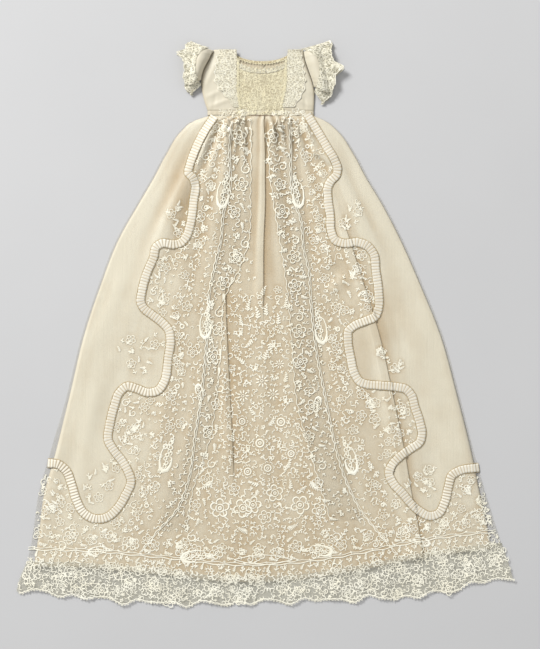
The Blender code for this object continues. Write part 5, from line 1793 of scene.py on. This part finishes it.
def make_side_front(side):
    """A satin panel from the side seam to the lace front, rounded down at the side."""
    outer, inner = f"side_{side}", f"seam_{side}"
    y = np.linspace(BODICE["y"][0], BODICE["y"][-1], 60)[:, None]
    part = np.linspace(0.0, 1.0, 34)[None, :]
    x = bodice_edge(outer, y) + (bodice_edge(inner, y) - bodice_edge(outer, y)) * part
    rows = np.repeat(y, x.shape[1], 1)
    top = bodice_top(x, rows)
    rim = rounded_rim(part, np.abs(bodice_edge(inner, y) - bodice_edge(outer, y)), FRONT_ROUND)
    top = FRONT_EDGE_Z + (top - FRONT_EDGE_Z) * rim
    # Painted shade along the outer edge, where the panel rounds down.
    tan = 0.25 * (1 - smooth_between(part * 0.05, 0.0, 0.006)) + 0.0 * y
    return cloth(f"satin_side_front_{side}", np.stack([x, rows, top], -1), WALLS["bodice"], "bodice satin",
                 [f"bodice_side_{side}"], tan=tan, flat=True)


def make_back_half(side):
    """A back panel from the centre to the side seam, with the neckline cut out and a strap beside it."""
    outer, way = f"side_{side}", WAYS[side]
    centre = way * BACK_GAP / 2
    part, rise = np.linspace(0.0, 1.0, 30)[None, :], np.linspace(0.0, 1.0, 40)[:, None]
    y0, y1 = BODICE["y"][0], BODICE["y"][-1]
    y = y0 + (y1 - y0) * rise + 0.0 * part
    for _ in range(3):
        x = centre + (bodice_edge(outer, y) - centre) * part
        neck = neck_line(x, BACK_NECK)
        y = y0 + (neck + (y1 - neck) * smooth_between(way * x, *STRAP_STARTS) - y0) * rise
    height = 0.0014 + 0.0004 * np.sin(x * 130.0) * np.sin(y * 90.0)
    return cloth(f"satin_back_{side}", np.stack([x, y, height], -1), WALLS["bodice"], "bodice satin",
                 [f"bodice_back_{side}"], tan=0.30, flat=True)


side_fronts = {side: make_side_front(side) for side in ("left", "right")}
back_halves = {side: make_back_half(side) for side in ("left", "right")}

# %% [markdown]
# The lace front lies between the two satin panels. Its grid runs from seam to seam, and up to a round
# neckline. It is worked all over in golden thread, with a small bow of scrolls in the middle.

# %% The lace front
def plastron_plan(columns, rows):
    """Between the two seams and up to the neckline."""
    part, rise = np.linspace(0.0, 1.0, columns)[None, :], np.linspace(0.0, 1.0, rows)[:, None]
    y0 = BODICE["y"][0]
    y = y0 + (FRONT_NECK[0] - y0) * rise + 0.0 * part
    for _ in range(4):
        left, right = bodice_edge("seam_left", y), bodice_edge("seam_right", y)
        x = left + (right - left) * part
        y = y0 + (neck_line(x, FRONT_NECK) - y0) * rise
    return x, y


def plastron_top(x, y):
    """The lace front's height: slightly lumpy, because the lace is gathered over its lining."""
    lumps = 0.00035 * np.sin(x * 610.0 + 2 * np.sin(y * 330.0)) * np.sin(y * 540.0 + 1.5 * np.sin(x * 280.0))
    return BODICE_FRONT + bodice_rise(x, y) + lumps + 0.0004


x, y = plastron_plan(84, 76)
plastron = cloth("lace_front", np.stack([x, y, plastron_top(x, y)], -1), WALLS["lace front"],
                 "plastron lace", ["plastron"], flat=True)


def in_plastron(x, y):
    left, right = bodice_edge("seam_left", y), bodice_edge("seam_right", y)
    return (x > left + 0.003) & (x < right - 0.003) & (y > 0.384) & (y < neck_line(x, FRONT_NECK) - 0.004)


bow_scroll = placed("scroll", (-0.014, 0.012), (0.413, 0.413), (60, -60), 0.0095, (1.0, -1.0))
bow_scroll += placed("crescent", (-0.001,), (0.409,), (0,), 0.0060)
plastron_strokes = scatter(in_plastron, 0.0052, ("curl", "wave", "sprig", "eyelet", "curl"), 0.0044, 91, 0.85,
                           occupied(bow_scroll, 1), (-0.06, 0.378), (0.06, 0.48))
plastron_strokes += bow_scroll
plastron_lace = sew("lace_front_figures", plastron_strokes, lying_on(plastron_top), "golden lace thread",
                    stand=0.7)

# %% [markdown]
# ## Frills
# A frill is a strip of lace gathered along one edge. Across the strip the ruffle grows from nothing at the seam
# to full waves at the free edge, and the free edge is scalloped. The same function serves the berthas beside the
# lace front and the two neck frills.

# %% Frills on the bodice
GATHERED = 1.6
FRILL_SCALLOP = 0.0012
FRILL_LIFT = 0.0002


def ruffle(count, waves, seed_value):
    """An uneven wave along a strip: a sine whose phase wanders."""
    random = np.random.default_rng(seed_value)
    at = np.linspace(0.0, 1.0, count)
    wander = np.interp(at, np.linspace(0, 1, waves + 1), random.normal(0, 0.55, waves + 1))
    swell = np.interp(at, np.linspace(0, 1, waves + 1), random.uniform(0.6, 1.15, waves + 1))
    return np.sin(2 * math.pi * waves * at + wander), swell


def make_frill(name, seam, free, base, waves, height, material, nodes, seed_value, steps):
    """A gathered strip between two lines of points, seam and free; base(x, y) is what it lies on.

    It returns the piece, its grid and its flat size. Along the strip, the flat lace is longer than the seam
    by GATHERED.
    """
    count = len(seam)
    wave_of, swell = ruffle(count, waves, seed_value)
    part = np.linspace(0.0, 1.0, steps)[:, None]
    away = free - seam
    reach = 1.0 + (FRILL_SCALLOP / np.linalg.norm(away, axis=1).mean()) * wave_of * swell * 1.5
    plan = seam[None] + away[None] * (part * (1 + (reach[None, :] - 1) * part))[..., None]
    sideways = np.gradient(seam, axis=0)
    sideways /= np.linalg.norm(sideways, axis=1, keepdims=True)
    lean = np.cos(2 * math.pi * waves * np.linspace(0, 1, count)) * height * 0.5
    plan = plan + sideways[None] * (lean[None, :] * part ** 1.5)[..., None]
    lift = 0.0003 + height * (0.5 + 0.5 * wave_of * swell)[None, :] * part ** 0.8
    ground = base(plan[..., 0], plan[..., 1])
    grid = np.concatenate([plan, (ground + lift)[..., None]], -1)
    run = np.concatenate([[0.0], np.cumsum(np.linalg.norm(np.diff(seam, axis=0), axis=1))]) * GATHERED
    width = np.linalg.norm(away, axis=1).mean()
    flat_uv = np.stack(np.broadcast_arrays(run[None, :], part * width), -1)
    piece = cloth(name, grid, WALLS["frill"], material, nodes, flat_uv=flat_uv, flat=True)
    return piece, grid, (float(run[-1]), float(width))


def grid_surface(grid, flat_size):
    """A surface for strokes drawn on the flat strip: the grid's points and normals, mixed between cells."""
    normal = normals_of(grid)
    normal = np.where(normal[..., 2:3] < 0, -normal, normal)
    rows, columns = grid.shape[:2]
    def place(plan):
        u = np.clip(plan[..., 0] / flat_size[0], 0, 1) * (columns - 1)
        v = np.clip(plan[..., 1] / flat_size[1], 0, 1) * (rows - 1)
        i, j = np.minimum(v.astype(int), rows - 2), np.minimum(u.astype(int), columns - 2)
        a, b = (v - i)[..., None], (u - j)[..., None]
        def mixed(of):
            return (of[i, j] * (1 - a) * (1 - b) + of[i, j + 1] * (1 - a) * b
                    + of[i + 1, j] * a * (1 - b) + of[i + 1, j + 1] * a * b)
        return mixed(grid), mixed(normal)
    return place


def strip_strokes(size, step, seed_value, motif=0.0044, edge_half=0.0007):
    """Curls all over a flat strip, and a cord along its free edge."""
    def inside(x, y):
        return (x > 0.001) & (x < size[0] - 0.001) & (y > 0.001) & (y < size[1] - 0.002)
    kinds = ("curl", "wave", "curl", "sprig")
    strokes = scatter(inside, step, kinds, motif, seed_value, 0.9, None, (0.0, 0.0), size)
    along = np.linspace(0.001, size[0] - 0.001, max(int(size[0] / CORD_STEP), STROKE_POINTS))
    rim = np.stack([along, np.full(len(along), size[1] - 0.0006)], -1)
    return strokes + cut_in_strokes(rim, edge_half)


BERTHA = {
    "y": (0.386, 0.4025, 0.4117, 0.430, 0.4545, 0.4905),
    "left": (-0.056, -0.0665, -0.0760, -0.0880, -0.0890, -0.0820),
    "right": (0.0515, 0.0640, 0.0690, 0.0736, 0.0708, 0.0645),
}


def bodice_ground(x, y):
    """What the berthas lie on: the satin and the lace front, whichever is higher."""
    return np.maximum(bodice_top(x, y), plastron_top(x, y) - 0.0002) + 0.0003


berthas, bertha_lace = {}, {}
for side, way in WAYS.items():
    y = np.linspace(0.386, 0.4905, 150)
    seam_x = bodice_edge(f"seam_{side}", y) - way * 0.004
    free_x = through(y, BERTHA["y"], BERTHA[side])
    berthas[side], grid, size = make_frill(
        f"bertha_frill_{side}", np.stack([seam_x, y], -1), np.stack([free_x, y], -1), bodice_ground,
        7, 0.0011, "bertha lace", [f"bertha_{side}"], SEEDS["berthas"][side], steps=13)
    strokes = strip_strokes(size, 0.0058, SEEDS["bertha figures"][side])
    bertha_lace[side] = sew(f"bertha_figures_{side}", strokes, grid_surface(grid, size), "lace thread",
                            lift=FRILL_LIFT)

# %% [markdown]
# The front neck frill stands up from its seam to the neckline; the back one hangs down from it. The two
# share one loop and differ in a small table.

# %% The neck frills
NECK_FRILLS = {
    "front": {"neck": FRONT_NECK, "over": 0.003, "width": 0.010, "stands": True, "waves": 13,
              "height": 0.0015, "material": "bertha lace", "seed": 111},
    "back": {"neck": BACK_NECK, "over": 0.002, "width": 0.006, "stands": False, "waves": 19,
             "height": 0.0016, "material": "golden lace", "seed": 112},
}


def front_neck_ground(x, y):
    return plastron_top(x, np.minimum(y, neck_line(x, FRONT_NECK))) + 0.0003


def back_neck_ground(x, y):
    return np.full(np.shape(x), 0.0022)


NECK_GROUNDS = {"front": front_neck_ground, "back": back_neck_ground}
neck_frills, neck_lace = {}, {}
for name, facts in NECK_FRILLS.items():
    left = bodice_edge("seam_left", facts["neck"][0]) + 0.003
    right = bodice_edge("seam_right", facts["neck"][0]) - 0.003
    x = np.linspace(left, right, 220)
    top = neck_line(x, facts["neck"]) + facts["over"]
    high, low = np.stack([x, top], -1), np.stack([x, top - facts["width"]], -1)
    seam, free = (low, high) if facts["stands"] else (high, low)
    neck_frills[name], grid, size = make_frill(
        f"neck_frill_lace_{name}", seam, free, NECK_GROUNDS[name], facts["waves"], facts["height"],
        facts["material"], [f"neck_frill_{name}"], facts["seed"], steps=9)
    strokes = strip_strokes(size, 0.0046, 113, motif=0.0032, edge_half=0.0006)
    neck_lace[name] = sew(f"neck_figures_{name}", strokes, grid_surface(grid, size), "golden lace thread",
                          lift=FRILL_LIFT)

# %% [markdown]
# Golden cords edge the lace front, and a short row of dark stitches below the middle of the band is a painted
# shadow between the bodice and the skirt.

# %% Cords, waistband and stitches
def over_berthas(x, y):
    return bodice_ground(x, y) + 0.0010


seam_strokes = []
for side, way in WAYS.items():
    y = np.linspace(0.384, 0.474, 12)
    for aside in (0.0, 0.0022):
        x = bodice_edge(f"seam_{side}", y) - way * (0.0045 + aside)
        seam_strokes += cord(np.stack([x, y], -1), 0.0008, 0.0011, 150.0)
seam_cords = sew("seam_cords", seam_strokes, lying_on(over_berthas), "golden lace thread",
                 stand=0.9)

BAND_LOW, BAND_HIGH = 0.3726, 0.3810
WAIST_TOP_Z = 0.0048


def waist_top(x, y):
    """The waistband's height, puckered where the skirt is gathered into it."""
    rise = bodice_rise(x, np.full(np.shape(x), BODICE["y"][0]))
    puckers = 0.00045 * np.sin(x * 900.0 + np.sin(x * 170.0) * 2) * (BAND_HIGH - y) / 0.009
    return WAIST_TOP_Z + rise + puckers


def band_plan(columns, rows):
    """A straight grid as wide as the bodice is at its lower edge."""
    left, right = (bodice_edge(column, BODICE["y"][0]) for column in ("side_left", "side_right"))
    x = np.linspace(left, right, columns)[None, :] + np.zeros((rows, 1))
    return x, np.linspace(BAND_HIGH, BAND_LOW, rows)[:, None] + np.zeros((1, columns))


x, y = band_plan(240, 8)
rim = rounded_rim(np.minimum(x - x.min(), x.max() - x), 1.0, FRONT_ROUND)
height = FRONT_EDGE_Z + (waist_top(x, y) - FRONT_EDGE_Z) * rim
waist_front = cloth("waistband_satin_front", np.stack([x, y, height], -1), WALLS["bodice"], "bodice satin",
                    ["waistband_front"], tan=0.15, flat=True)
waist_back = cloth("waistband_satin_back", np.stack([x, y, np.full(x.shape, 0.0014)], -1), WALLS["bodice"],
                   "bodice satin", ["waistband_back"], tan=0.15, flat=True)


def waist_ground(x, y):
    """The waistband or the gathered silk just below it, whichever is higher."""
    band = waist_top(x, np.clip(y, BAND_LOW, BAND_HIGH))
    return np.maximum(band, satin_top(x, np.minimum(y, 0.3715)))


def in_waist(x, y):
    """Both sides of the waistband, without its plain middle."""
    plain = (x > -0.028) & (x < 0.016)
    return (np.abs(x + 0.004) < 0.078) & (y > 0.371) & (y < 0.383) & ~plain


def in_middle_waist(x, y):
    return (x > -0.050) & (x < 0.040) & (y > 0.3735) & (y < 0.3825)


on_waist = lying_on(waist_ground)
waist_strokes = scatter(in_waist, 0.0050, ("curl", "wave", "curl", "eyelet"), 0.0044, 121, 0.95, None,
                        (-0.09, 0.370), (0.08, 0.384))
waist_lace = sew("waist_lace", waist_strokes, on_waist, "lace thread", lift=0.0003)
middle_waist = scatter(in_middle_waist, 0.0040, ("curl", "wave", "sprig"), 0.0042, 122, 0.95, None,
                       (-0.06, 0.372), (0.05, 0.384))
middle_waist_lace = sew("middle_waist_lace", middle_waist, on_waist, "golden lace thread",
                        lift=0.0003)
# Dark stitches just below the middle of the waistband: a painted shadow between the bodice and the skirt.
stitch_x = np.arange(-0.0245, 0.0155, 0.0024)[:, None] + np.linspace(0, 0.0017, 4)
stitches = [(np.stack([stitch_x, np.full(stitch_x.shape, 0.3713)], -1), np.full(stitch_x.shape, 0.0005))]
waist_shadow_stitches = sew("waist_shadow_stitches", stitches, on_waist, "waist shadow stitching", lift=0.0003)

# %% [markdown]
# ## The sleeves
# A puffed sleeve is a tube, gathered at the armhole and at the cuff. Each ring of the tube is a flattened
# loop; between the gathers it swells. Fine folds run from both gathers and die out in the middle. The
# cuff's lace is a second tube that flares, with spikes where the lace's points stand out.

# %% Sleeves and cuffs
SLEEVES = {
    "left": {"armhole": (0.489, 0.436), "cuff": ((-0.127, 0.496), (-0.137, 0.424))},
    "right": {"armhole": (0.486, 0.424), "cuff": ((0.101, 0.494), (0.118, 0.410))},
}
SLEEVE_HEIGHT = 0.022
PUFF_SQUARE = 0.62
LOWEST_Z = 0.0004
PUFF_RINGS = {"along": (0.0, 0.30, 0.62, 0.86, 1.0), "tall": (0.50, 0.92, 1.0, 0.82, 0.62),
              "long": (1.0, 1.06, 1.06, 1.0, 0.96)}
# The cuff's lace at places along the cuff, -1 at its lower end and 1 at its upper end: how far its free
# edge stands out from the cuff, and how far in over the puff it is sewn on.
CUFFS = {
    "left": {"at": (-1.0, -0.75, -0.45, -0.15, 0.12, 0.35, 0.52, 0.70, 0.85, 1.0),
             "out": (-0.010, 0.004, 0.009, 0.011, 0.010, 0.019, 0.028, 0.014, 0.015, 0.005),
             "over": (0.026, 0.018, 0.013, 0.010, 0.009, 0.009, 0.011, 0.014, 0.020, 0.034),
             "spread": (1.42, 1.24)},
    "right": {"at": (-1.0, -0.75, -0.50, -0.22, -0.05, 0.12, 0.35, 0.60, 0.85, 1.0),
              "out": (-0.020, 0.000, 0.009, 0.014, 0.021, 0.034, 0.019, 0.014, 0.021, 0.018),
              "over": (0.030, 0.024, 0.019, 0.014, 0.012, 0.011, 0.010, 0.012, 0.024, 0.044),
              "spread": (1.42, 1.28)},
}


def loop_shape(count, squareness):
    """Round a flattened tube: how far along it each point is, -1 to 1, and how far up, 0 to 1."""
    angle = np.linspace(0, 2 * math.pi, count, endpoint=False)
    along = np.sign(np.cos(angle)) * np.abs(np.cos(angle)) ** squareness
    up = np.sign(np.sin(angle)) * np.abs(np.sin(angle)) ** squareness
    return angle, along, (1 + up) / 2


def on_line(ends, along):
    """The points between two ends, along running from -1 at the second to 1 at the first."""
    upper, lower = np.asarray(ends)
    return (upper + lower) / 2 + np.multiply.outer(along, (upper - lower) / 2)


def puff_ring(column, t):
    """How tall or how long the puff's ring is, at a share t of the way from the armhole to the cuff."""
    return through(t, PUFF_RINGS["along"], PUFF_RINGS[column])


def make_puff(side):
    """A tube from the armhole to the cuff, its rings taller and longer in the middle than at its ends."""
    facts = SLEEVES[side]
    angle, along, up = loop_shape(112, PUFF_SQUARE)
    arm_y = on_line(facts["armhole"], along)
    arm_x = bodice_edge(f"side_{side}", arm_y) + WAYS[side] * 0.0006
    t = np.linspace(0.0, 1.0, 34)[:, None]
    tall, long = puff_ring("tall", t), puff_ring("long", t)
    cuff = on_line(facts["cuff"], along[None, :] * long)
    x = arm_x[None, :] + (cuff[..., 0] - arm_x[None, :]) * t
    y = arm_y[None, :] + (cuff[..., 1] - arm_y[None, :]) * t
    gathered = np.exp(-t / 0.28) + np.exp(-(1 - t) / 0.25)
    pleating = np.sin(15 * angle + 1.1 * np.sin(3 * angle))[None, :]
    folds = pleating * 0.0005 * gathered
    up = up[None, :]
    z = SLEEVE_HEIGHT * tall * up
    z = np.where(up > 0.5, z + folds * (up - 0.5) * 2, z + np.maximum(folds, 0) * (0.5 - up) * 0.4)
    grid = np.stack([x, y, np.maximum(z, LOWEST_Z)], -1)
    flat_uv = np.stack(np.broadcast_arrays(angle[None, :] * 0.025, t * 0.045), -1)
    tan = np.clip(0.10 * gathered * (0.5 + 0.5 * pleating), 0, 0.5)
    return cloth(f"satin_puff_{side}", grid, WALLS["puff"], "bodice satin",
                 [f"sleeve_{side}"], flat_uv=flat_uv, tan=tan, closed=True)


def puff_height(side, x, y):
    """The height of the puff's upper side at x and y, and 0 beside it."""
    facts = SLEEVES[side]
    (top_x, top_y), (low_x, low_y) = facts["cuff"]
    arm_x = bodice_edge(f"side_{side}", np.clip(y, *sorted(facts["armhole"])))
    cuff_x = top_x + (low_x - top_x) * (top_y - y) / (top_y - low_y)
    t = np.clip((x - arm_x) / (cuff_x - arm_x), 0.0, 1.0)
    upper = facts["armhole"][0] + (top_y - facts["armhole"][0]) * t
    lower = facts["armhole"][1] + (low_y - facts["armhole"][1]) * t
    half = (upper - lower) / 2 * puff_ring("long", t)
    along = np.clip(np.abs(y - (upper + lower) / 2) / half, 0.0, 1.0)
    rise = (1 + (1 - along ** (2 / PUFF_SQUARE)) ** (PUFF_SQUARE / 2)) / 2
    return np.where(along < 1.0, SLEEVE_HEIGHT * puff_ring("tall", t) * rise, 0.0)


def make_cuff(side):
    """The cuff's lace: a tube that flares from over the puff to its own uneven free edge."""
    facts, table, way = SLEEVES[side], CUFFS[side], WAYS[side]
    angle, along, up = loop_shape(216, 0.80)
    t = np.linspace(0.0, 1.0, 18)[:, None]
    spread = np.where(along > 0, table["spread"][1], table["spread"][0])
    plan = on_line(facts["cuff"], along[None, :] * (0.97 + (spread[None, :] - 0.97) * t))
    wave_of = np.cos(13 * angle + 1.2 * np.sin(4 * angle) + 0.7 * np.sin(7 * angle))
    out = np.interp(along, table["at"], table["out"]) + 0.0014 * wave_of + 0.0020 * np.abs(np.sin(19 * angle))
    over = np.interp(along, table["at"], table["over"]) * smooth_between(up, 0.40, 0.75)
    x = plan[..., 0] + way * (0.0004 - over[None, :] + (out + over)[None, :] * t)
    y = plan[..., 1] + 0.0014 * np.sin(13 * angle)[None, :] * t
    swell = 0.0018 * (wave_of + 1.0)[None, :] * np.minimum(t * 2.5, 1.0)
    z = SLEEVE_HEIGHT * (0.62 - 0.30 * t) * up[None, :] + swell * up[None, :]
    clear = puff_height(side, x, y) + 0.0007 + 0.6 * swell
    z = np.where((up > 0.5)[None, :], np.maximum(z, clear), z)
    grid = np.stack([x, y, np.maximum(z, LOWEST_Z)], -1)
    size = (0.34, 0.030)
    flat_uv = np.stack(np.broadcast_arrays(angle[None, :] / (2 * math.pi) * size[0], t * size[1]), -1)
    piece = cloth(f"cuff_lace_{side}", grid, WALLS["frill"], "frill lace", [f"cuff_frill_{side}"],
                  flat_uv=flat_uv, closed=True)
    wrapped = np.concatenate([grid, grid[:, :1]], axis=1)
    strokes = strip_strokes(size, 0.0060, SEEDS["cuffs"][side], motif=0.0052, edge_half=0.0009)
    figures = sew(f"cuff_figures_{side}", strokes, grid_surface(wrapped, size), "lace thread",
                  lift=FRILL_LIFT)
    return piece, figures


puffs, cuffs, cuff_lace = {}, {}, {}
for side in SLEEVES:
    puffs[side] = make_puff(side)
    cuffs[side], cuff_lace[side] = make_cuff(side)

# %% [markdown]
# ## Counting the triangles
# The triangles of every piece that is shown are added up.

# %% Counting the triangles
total = sum(len(p.vertices) - 2 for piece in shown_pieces() if piece.type == "MESH" for p in piece.data.polygons)
print("all pieces:", total, "triangles")
